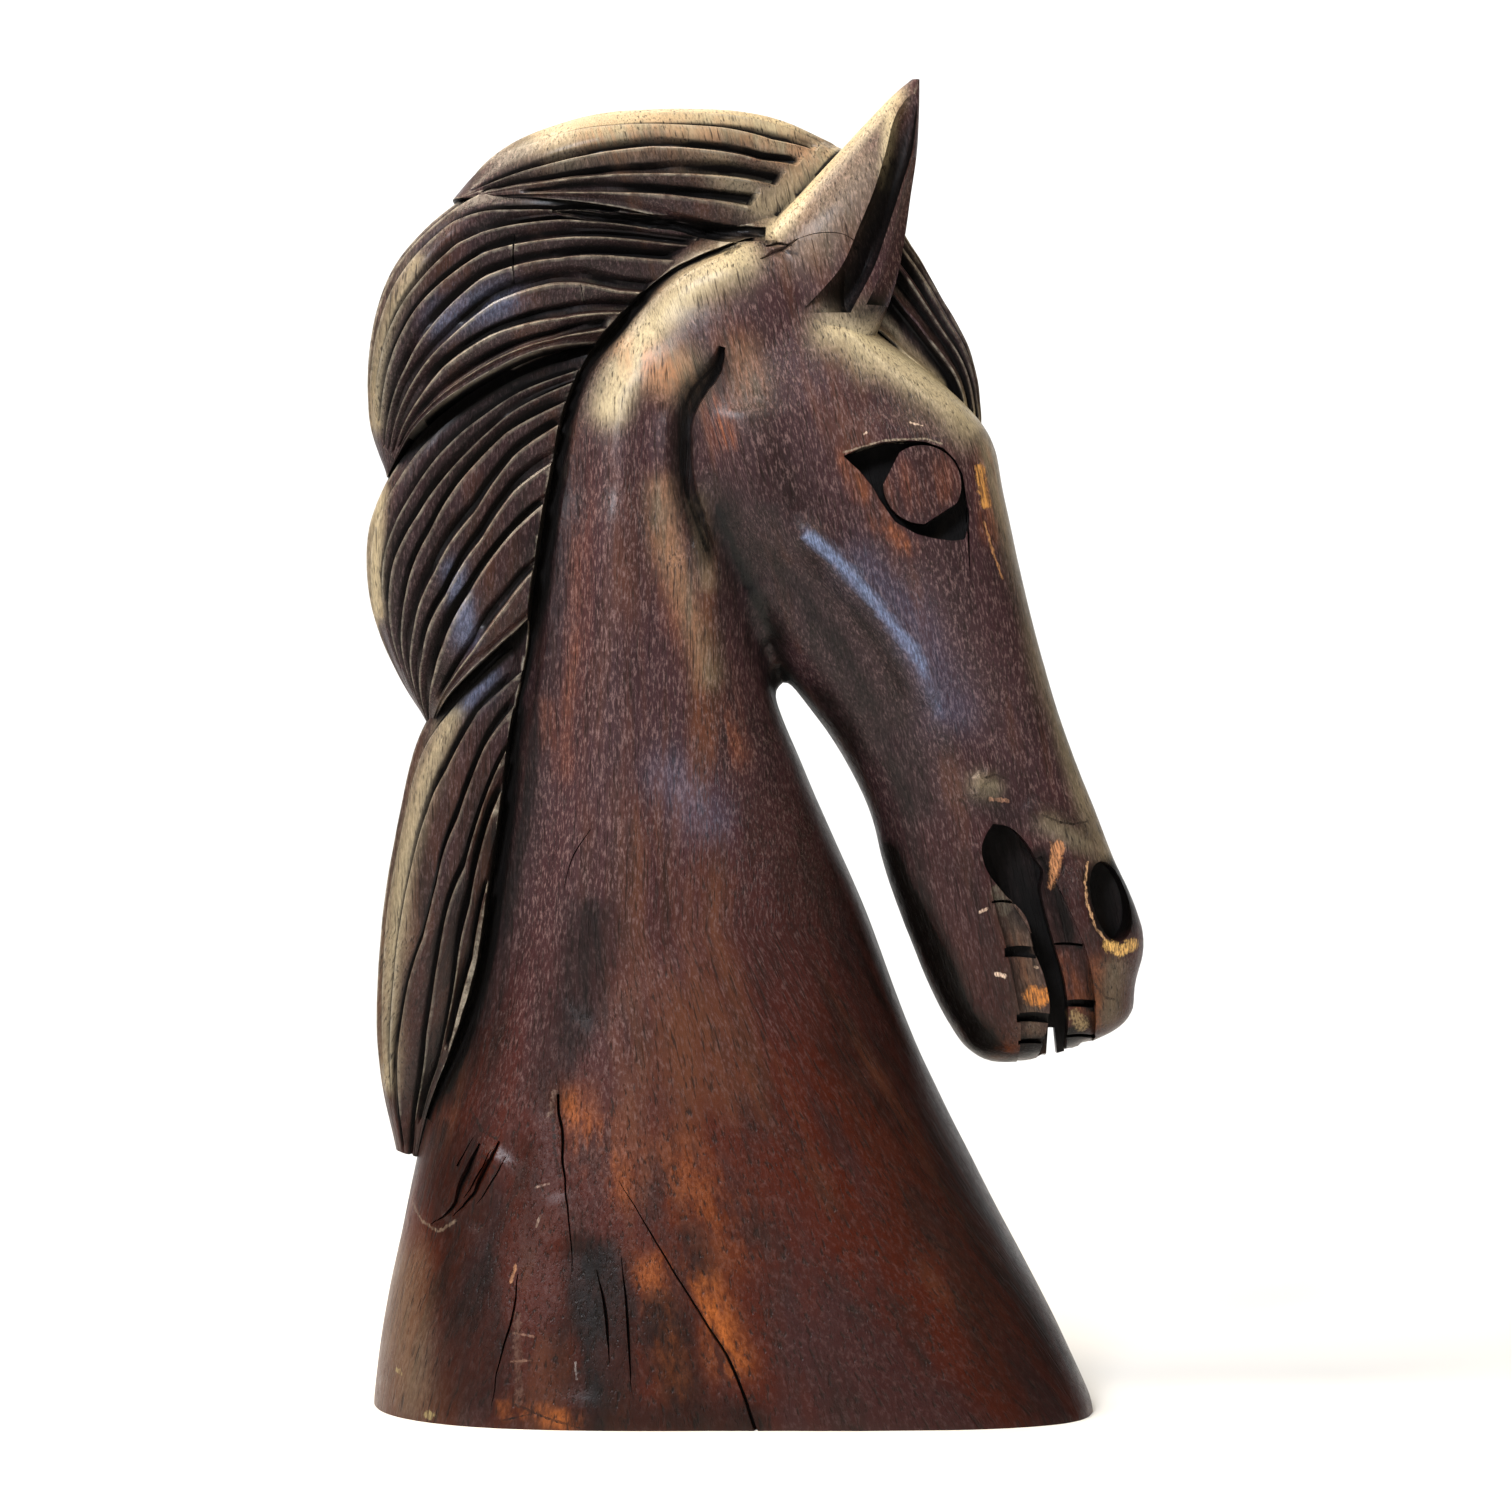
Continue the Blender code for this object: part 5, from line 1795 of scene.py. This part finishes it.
@dataclass(frozen=True)
class StainedWood:
    """Dark stain under worn wax, with fine grain, and painted shade, highlights and sheen."""

    plum: tuple = (0.036, 0.0155, 0.0185, 1)
    red: tuple = (0.046, 0.0065, 0.0015, 1)
    speck: tuple = (0.190, 0.118, 0.115, 1)
    # Near black: dark stain, and painted shade in hollows and shadowed parts.
    black: tuple = (0.0026, 0.0017, 0.0014, 1)
    pore: tuple = (0.012, 0.006, 0.0045, 1)
    umber: tuple = (0.110, 0.040, 0.017, 1)
    soot: tuple = (0.020, 0.010, 0.012, 1)
    rust: tuple = (0.440, 0.125, 0.024, 1)
    # Pale gold of worn wax, also used as painted highlight.
    worn_highlight_gold: tuple = (0.460, 0.390, 0.250, 1)
    # Pale edges: wear, and painted highlight.
    rim: tuple = (0.480, 0.430, 0.340, 1)
    # The colour of the painted blue sheen.
    sheen_blue: tuple = (0.280, 0.380, 0.640, 1)
    fan_top: Place = (-62, 330)
    fan_reach: float = 150.0
    head_lean: float = 0.22
    specular: float = 0.19
    wax: float = 0.09
    wax_roughness: float = 0.2
    relief_strength: float = 0.45
    relief_depth: float = 0.0004
    marks: tuple[Mark, ...] = (
        Mark(((124.6, 210.5), (122.0, 196)), 3.1, (0.52, 0.24, 0.11), 0.5, 1.0, 0.55),
        Mark(((115.4, 154.4), (118.2, 154.0)), 4.2, (0.60, 0.22, 0.045), 0.5),
        Mark(((101.5, 194.3), (104.6, 187)), 2.6, (0.11, 0.095, 0.07), 0.5, 0.8),
        Mark(((131.6, 146.5), (134.4, 143)), 2.8, (0.30, 0.21, 0.10), 0.6, 0.9),
        Mark(((136.0, 204.8), (134.8, 197.4), (135.2, 189.7), (138.5, 180.4), (142.4, 175.8)), 0.5,
            (0.55, 0.33, 0.18), 1.6),
        Mark(((143.5, 173.5), (148.5, 171.5), (154, 174)), 2.5, (0.85, 0.52, 0.17), 0.8),
        Mark(((95, 186.4), (97.2, 187.4)), 0.7, (0.75, 0.55, 0.42), 1.2),
        Mark(((101.2, 163), (104.2, 162.2)), 0.9, (0.80, 0.60, 0.46), 1.0),
        Mark(((116, 165.4), (117, 165)), 0.5, (0.7, 0.5, 0.36), 0.8),
        Mark(((118.8, 222.9), (125, 220.2), (130.4, 219.4), (136.5, 220.4)), 0.5,
            (0.006, 0.004, 0.003), 1.4),
        Mark(((95.6, 236.8), (101, 238.2), (106.4, 236)), 0.5, (0.008, 0.005, 0.004), 1.4),
        Mark(((98.7, 228.9), (105.6, 228.4)), 0.8, (0.36, 0.19, 0.12), 1.0, 0.8),
        Mark(((12.5, 436.8), (17.5, 437.6)), 1.3, (0.006, 0.004, 0.003), 1.4),
        Mark(((20, 434.6), (26, 432.8)), 0.8, (0.008, 0.005, 0.004), 1.4),
        Mark(((-1, 433), (4, 436)), 0.9, (0.008, 0.005, 0.004), 1.4),
        Mark(((-110.5, 2.5), (-109, 3)), 1.6, (0.26, 0.21, 0.10), 1.0, 0.8),
        Mark(((-122.8, 16.5), (-122, 16)), 1.1, (0.24, 0.19, 0.09), 1.0, 0.8),
        Mark(((-78, 9), (-66, 4.5), (-54, 1)), 0.5, (0.008, 0.005, 0.004), 1.6),
        Mark(((-82, 3), (-72, 5.5)), 0.4, (0.008, 0.005, 0.004), 1.6),
        Mark(((94.3, 353), (96.6, 340)), 2.1, (0.62, 0.30, 0.08), 0.9, 0.9),
        Mark(((96, 333), (99.4, 322), (103, 312)), 0.5, (0.42, 0.21, 0.09), 1.6),
        Mark(((43, 358.2), (58, 362.8), (74, 363.6), (80, 361.8)), 0.4, (0.30, 0.25, 0.19), 1.4,
            0.8),
        Mark(((50.6, 365), (51.4, 365.6)), 0.5, (0.6, 0.45, 0.36), 0.8),
        Mark(((68, 369.6), (72.5, 368.6)), 0.5, (0.6, 0.45, 0.36), 1.2),
        Mark(((-71, 86), (-66, 87.5)), 0.4, (0.34, 0.24, 0.20), 1.6, 0.7),
        Mark(((-70.5, 72), (-69, 76)), 0.4, (0.30, 0.22, 0.18), 1.6, 0.7),
        Mark(((-55.5, 24), (-55, 18)), 0.4, (0.24, 0.22, 0.22), 1.4, 0.7),
        Mark(((-78, 34), (-71, 33)), 0.4, (0.24, 0.14, 0.10), 1.6, 0.6),
        Mark(((-79, 24), (-72, 24.5)), 0.4, (0.24, 0.14, 0.10), 1.6, 0.6),
        Mark(((-119, 76), (-115, 71), (-108, 68), (-101, 72.5)), 0.6, (0.17, 0.125, 0.09), 1.6,
            0.7),
        Mark(((-96, 113), (-92, 106), (-86, 103)), 0.7, (0.010, 0.007, 0.006), 1.8, 0.9),
        Mark(((-108, 100), (-112, 88), (-117, 80)), 0.5, (0.010, 0.007, 0.006), 1.8, 0.8),
        Mark(((-91, 97), (-86, 92), (-88, 84)), 0.6, (0.012, 0.008, 0.007), 1.8, 0.9),
        Mark(((-65, 113), (-64, 100), (-62, 90)), 0.7, (0.010, 0.007, 0.006), 1.8, 0.9),
        Mark(((-64, 121), (-66, 112)), 0.9, (0.16, 0.11, 0.09), 1.8, 0.6),
        Mark(((-78, 58), (-79.5, 52)), 0.6, (0.30, 0.15, 0.08), 1.2),
        Mark(((-77, 40), (-76, 10)), 1.6, (0.10, 0.055, 0.04), 1.4, 0.6),
        Mark(((137.4, 160.4), (143, 153.6), (146, 153)), 0.5, (0.02, 0.012, 0.008), 1.4),
    )

    def build(self) -> bpy.types.Material:
        """The material, laid from the bare stain up: grain, wear and painted highlight, stain and
        painted shade, painted sheen, painted shade in the hollows, pale edges and marks.

        Returns:
            The material.
        """
        wood = bpy.data.materials.new("stained_wood")
        wood.use_nodes = True
        bench = NodeBench(wood.node_tree)
        shader = wood.node_tree.nodes["Principled BSDF"]
        broad = bench.grain((9, 9, 5), 3.0, 0.55, 2.0)
        lines = bench.fanned(self.fan_top, self.fan_reach, self.head_lean)
        streak = bench.grain((160, 160, 16), 4.0, 0.65, 5.0, lines)
        fine = bench.grain((1250, 1250, 330), 3.0, 0.7, 8.0, lines)
        pores = bench.grain((1300, 1300, 80), 2.0, 0.6, 11.0, lines)
        scuff = bench.grain((240, 240, 240), 5.0, 0.75, 13.0)
        height = bench.plus(bench.height(), bench.times(broad, -0.25))
        low = bench.spread(height, 0.10, -0.02)
        bands = bench.grain((42, 42, 4.5), 3.0, 0.6, 21.0, lines)
        tone = bench.blend(low, self.plum, self.red)
        tone = bench.blend(bench.spread(bands, 0.54, 0.66, 0.0, 0.55), tone, self.umber)
        tone = bench.blend(bench.spread(bands, 0.46, 0.34, 0.0, 0.6), tone, self.soot)
        tone = bench.blend(bench.spread(streak, 0.50, 0.25, 0.0, 0.75), tone, self.pore)
        specks = bench.spread(fine, 0.50, 0.68, 0.0, 0.75)
        specks = bench.times(specks, bench.spread(low, 0, 1, 1.0, 0.2))
        tone = bench.blend(specks, tone, self.speck)
        # Pale gold: worn wax, and painted highlight where light falls on the tops and the face's
        # front edge.
        faded_and_highlight = bench.times(bench.value_of("faded_and_highlight"), bench.spread(fine, 0.34, 0.58, 0.6, 1.0))
        tone = bench.blend(faded_and_highlight, tone, self.worn_highlight_gold)
        broken = bench.times(bench.value_of("rubbed"), bench.spread(streak, 0.40, 0.58, 0.05, 0.9))
        broken = bench.times(broken, bench.spread(fine, 0.38, 0.56, 0.45, 1.0))
        tone = bench.blend(broken, tone, self.rust)
        tone = bench.blend(bench.spread(pores, 0.44, 0.32, 0.0, 0.8), tone, self.pore)
        # Dark stain, and painted shade where the stained patches stand for shadow; the strongest
        # ones go fully black.
        stain_and_shade_part = bench.times(bench.value_of("stain_and_shade"), bench.spread(streak, 0.68, 0.40, 0.6, 1.0))
        stain_and_shade_part = bench.maths("MAXIMUM", stain_and_shade_part, bench.spread(bench.value_of("stain_and_shade"), 0.90, 0.99))
        tone = bench.blend(stain_and_shade_part, tone, self.black)
        # Painted sheen: blue reflections of light painted into the colour.
        painted_sheen = bench.times(bench.value_of("painted_sheen"), bench.spread(fine, 0.38, 0.60, 0.35, 1.0))
        tone = bench.blend(painted_sheen, tone, self.sheen_blue)
        shade = bench.value_of("shade")
        tone = bench.blend(bench.spread(shade, 0.14, 0.44, 0.0, 1.0), tone, self.black)
        # Pale edges: partly chipped wear, partly painted highlight where light catches the upper
        # edges of the strands and other ridges; none in shade.
        edge = bench.value_of("edge")
        worn_and_lit_edge = bench.spread(edge, 0.22, 0.75)
        worn_and_lit_edge = bench.times(worn_and_lit_edge, bench.spread(scuff, 0.40, 0.62, 0.15, 0.75))
        worn_and_lit_edge = bench.times(worn_and_lit_edge, bench.spread(shade, 0.15, 0.40, 1.0, 0.0))
        tone = bench.blend(worn_and_lit_edge, tone, self.rim)
        spot, near = bench.side_view(), bench.near_side()
        frayed = bench.maths("SUBTRACT", bench.grain((650, 650, 500), 4.0, 0.7, 17.0), 0.5)
        worn = bench.spread(fine, 0.38, 0.58, 0.25, 1.0)
        worn = bench.times(worn, bench.spread(pores, 0.36, 0.50, 0.35, 1.0))
        worn = bench.times(worn, near)
        for mark in self.marks:
            part = bench.times(bench.mark(spot, mark, frayed), worn)
            tone = bench.blend(part, tone, (*mark.colour, 1))
        bench.put(shader.inputs["Base Color"], tone)
        rough = bench.spread(scuff, 0.30, 0.75, 0.30, 0.50)
        rough = bench.plus(rough, bench.spread(shade, 0.15, 0.6, 0.0, 0.35))
        bench.put(shader.inputs["Roughness"], rough)
        shader.inputs["Specular IOR Level"].default_value = self.specular
        shader.inputs["Coat Weight"].default_value = self.wax
        shader.inputs["Coat Roughness"].default_value = self.wax_roughness
        relief = bench.plus(bench.spread(pores, 0.30, 0.46), bench.times(fine, 0.8))
        relief = bench.plus(relief, bench.times(streak, 1.2))
        bump = bench.add("ShaderNodeBump")
        bump.inputs["Strength"].default_value = self.relief_strength
        bump.inputs["Distance"].default_value = self.relief_depth
        bench.put(bump.inputs["Height"], relief)
        bench.put(shader.inputs["Normal"], bump.outputs[0])
        return wood


@dataclass
class HorseCarving:
    """The whole carving as one piece."""

    trunk: Trunk = field(default_factory=Trunk)
    grooves: Grooves = field(default_factory=Grooves)
    mane: Mane = field(default_factory=Mane)
    ears: Ears = field(default_factory=Ears)
    face: Face = field(default_factory=Face)
    age: Age = field(default_factory=Age)
    patina: Patina = field(default_factory=Patina)
    wood: StainedWood = field(default_factory=StainedWood)
    crisp: float = math.radians(32)

    def level_foot(self, obj: Body) -> None:
        """Saws the foot off flat at z = 0, and keeps every point within the solid's box.

        Args:
            obj: The carving.
        """
        form = form_of(obj)
        geometry = form.verts[:] + form.edges[:] + form.faces[:]
        bmesh.ops.bisect_plane(form, geom=geometry, plane_co=(0, 0, 0), plane_no=(0, 0, -1),
            clear_outer=True)
        bmesh.ops.holes_fill(form, edges=[edge for edge in form.edges if edge.is_boundary], sides=0)
        bmesh.ops.dissolve_degenerate(form, edges=form.edges[:], dist=1e-5)
        bmesh.ops.triangulate(form, faces=form.faces[:])
        form.to_mesh(obj.data)
        form.free()
        put_places(obj, np.clip(places_of(obj), cad_low, cad_high))

    def build(self) -> Body:
        """The finished carving, riding in place of its solid.

        Returns:
            The carving.
        """
        carving = self.trunk.build()
        log.info("trunk: %d points", len(carving.data.vertices))
        bare = surface_of(carving)
        self.mane.add_to(carving, self.grooves.border.line)
        self.grooves.carve(carving, bare)
        self.ears.add_to(carving)
        log.info("ears on: %d points", len(carving.data.vertices))
        self.face.carve(carving)
        self.age.carve(carving)
        self.level_foot(carving)
        log.info("carved: %d points, %d faces", len(carving.data.vertices),
            len(carving.data.polygons))
        self.patina.apply(carving, self.grooves.border.line)
        carving.data.materials.clear()
        carving.data.materials.append(self.wood.build())
        carving.data.shade_smooth()
        carving.data.set_sharp_from_angle(angle=self.crisp)
        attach(carving, "root")
        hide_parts("horse_head")
        return carving


@dataclass
class Studio:
    """Pale floor with a curved backdrop, soft lights and the camera.

    The lights are listed by name, place, aim, size, watts and colour. The lens gives 0.385 mm for
    each of the picture's 1512 points at the middle plane, from 1350 mm away.
    """

    eye: tuple[float, float, float] = (0.0104, -1.35, 0.2452)
    sensor: float = 36.0
    lens: float = 36 * 1350 / 0.385 / 1512
    half_floor: float = 6.0
    floor_front: float = -3.0
    floor_back: float = 1.2
    bend: float = 1.6
    backdrop: float = 3.0
    lights: tuple = (
        ("key", (-0.52, -0.16, 0.98), (-0.02, 0, 0.38), 0.42, 16, (1.0, 0.86, 0.66)),
        ("front", (-0.55, -1.35, 1.0), (0.02, 0, 0.25), 0.35, 20, (0.88, 0.92, 1.0)),
        ("brow", (0.52, -0.42, 0.98), (0.07, 0, 0.38), 0.2, 4.5, (1.0, 0.84, 0.58)),
        ("wash", (0, 1.0, 2.6), (0, 2.8, 1.0), 2.0, 85, (1.0, 1.0, 1.0)),
    )

    def floor(self) -> Body:
        """A sheet that curves up behind the carving.

        Returns:
            The sheet.
        """
        form = bmesh.new()
        bmesh.ops.create_grid(form, x_segments=1, y_segments=40, size=1.0)
        for vert in form.verts:
            part = (vert.co.y + 1) / 2
            vert.co.x *= self.half_floor
            if part < 0.5:
                vert.co.y = self.floor_front + part * 2 * (self.floor_back - self.floor_front)
                vert.co.z = 0
            else:
                turn = (part - 0.5) * 2 * math.pi / 2
                top = self.backdrop * (part > 0.99)
                vert.co.y = self.floor_back + self.bend * math.sin(turn)
                vert.co.z = self.bend * (1 - math.cos(turn)) + top
        floor = as_object("floor", form)
        paper = bpy.data.materials.new("pale_paper")
        paper.use_nodes = True
        shader = paper.node_tree.nodes["Principled BSDF"]
        shader.inputs["Base Color"].default_value = (0.78, 0.78, 0.78, 1)
        shader.inputs["Roughness"].default_value = 0.9
        floor.data.materials.append(paper)
        floor.data.shade_smooth()
        return floor

    def lamp(
        self, name: str, place: tuple, aim: tuple, size: float, power: float, colour: tuple
    ) -> None:
        """A soft square light.

        Args:
            name: The light's name.
            place: Where it is, in metres.
            aim: Where it points.
            size: Its side, in metres.
            power: Its power in watts.
            colour: Its colour.
        """
        light = bpy.data.lights.new(name, "AREA")
        light.size = size
        light.energy = power
        light.color = colour
        obj = bpy.data.objects.new(name, light)
        obj.location = place
        obj.rotation_euler = (Vector(aim) - Vector(place)).to_track_quat("-Z", "Y").to_euler()
        bpy.context.scene.collection.objects.link(obj)

    def build(self) -> None:
        """Sets up the floor, the lights and the camera."""
        self.floor()
        for row in self.lights:
            self.lamp(*row)
        world = bpy.data.worlds.new("studio")
        bpy.context.scene.world = world
        world.use_nodes = True
        back = world.node_tree.nodes["Background"]
        back.inputs["Color"].default_value = (0.96, 0.98, 1.0, 1)
        back.inputs["Strength"].default_value = 0.1
        bpy.context.scene.view_settings.view_transform = "Standard"
        camera = bpy.data.cameras.new("camera")
        camera.lens = self.lens
        camera.sensor_width = self.sensor
        rig = bpy.data.objects.new("camera", camera)
        rig.location = self.eye
        rig.rotation_euler = (math.pi / 2, 0, 0)
        bpy.context.scene.collection.objects.link(rig)
        bpy.context.scene.camera = rig


def main() -> None:
    """Builds the carving and the studio."""
    logging.basicConfig(level=logging.INFO, format="%(message)s")
    carving = HorseCarving().build()
    log.info("%s: %d faces", carving.name, len(carving.data.polygons))
    Studio().build()


if __name__ == "__main__":
    main()
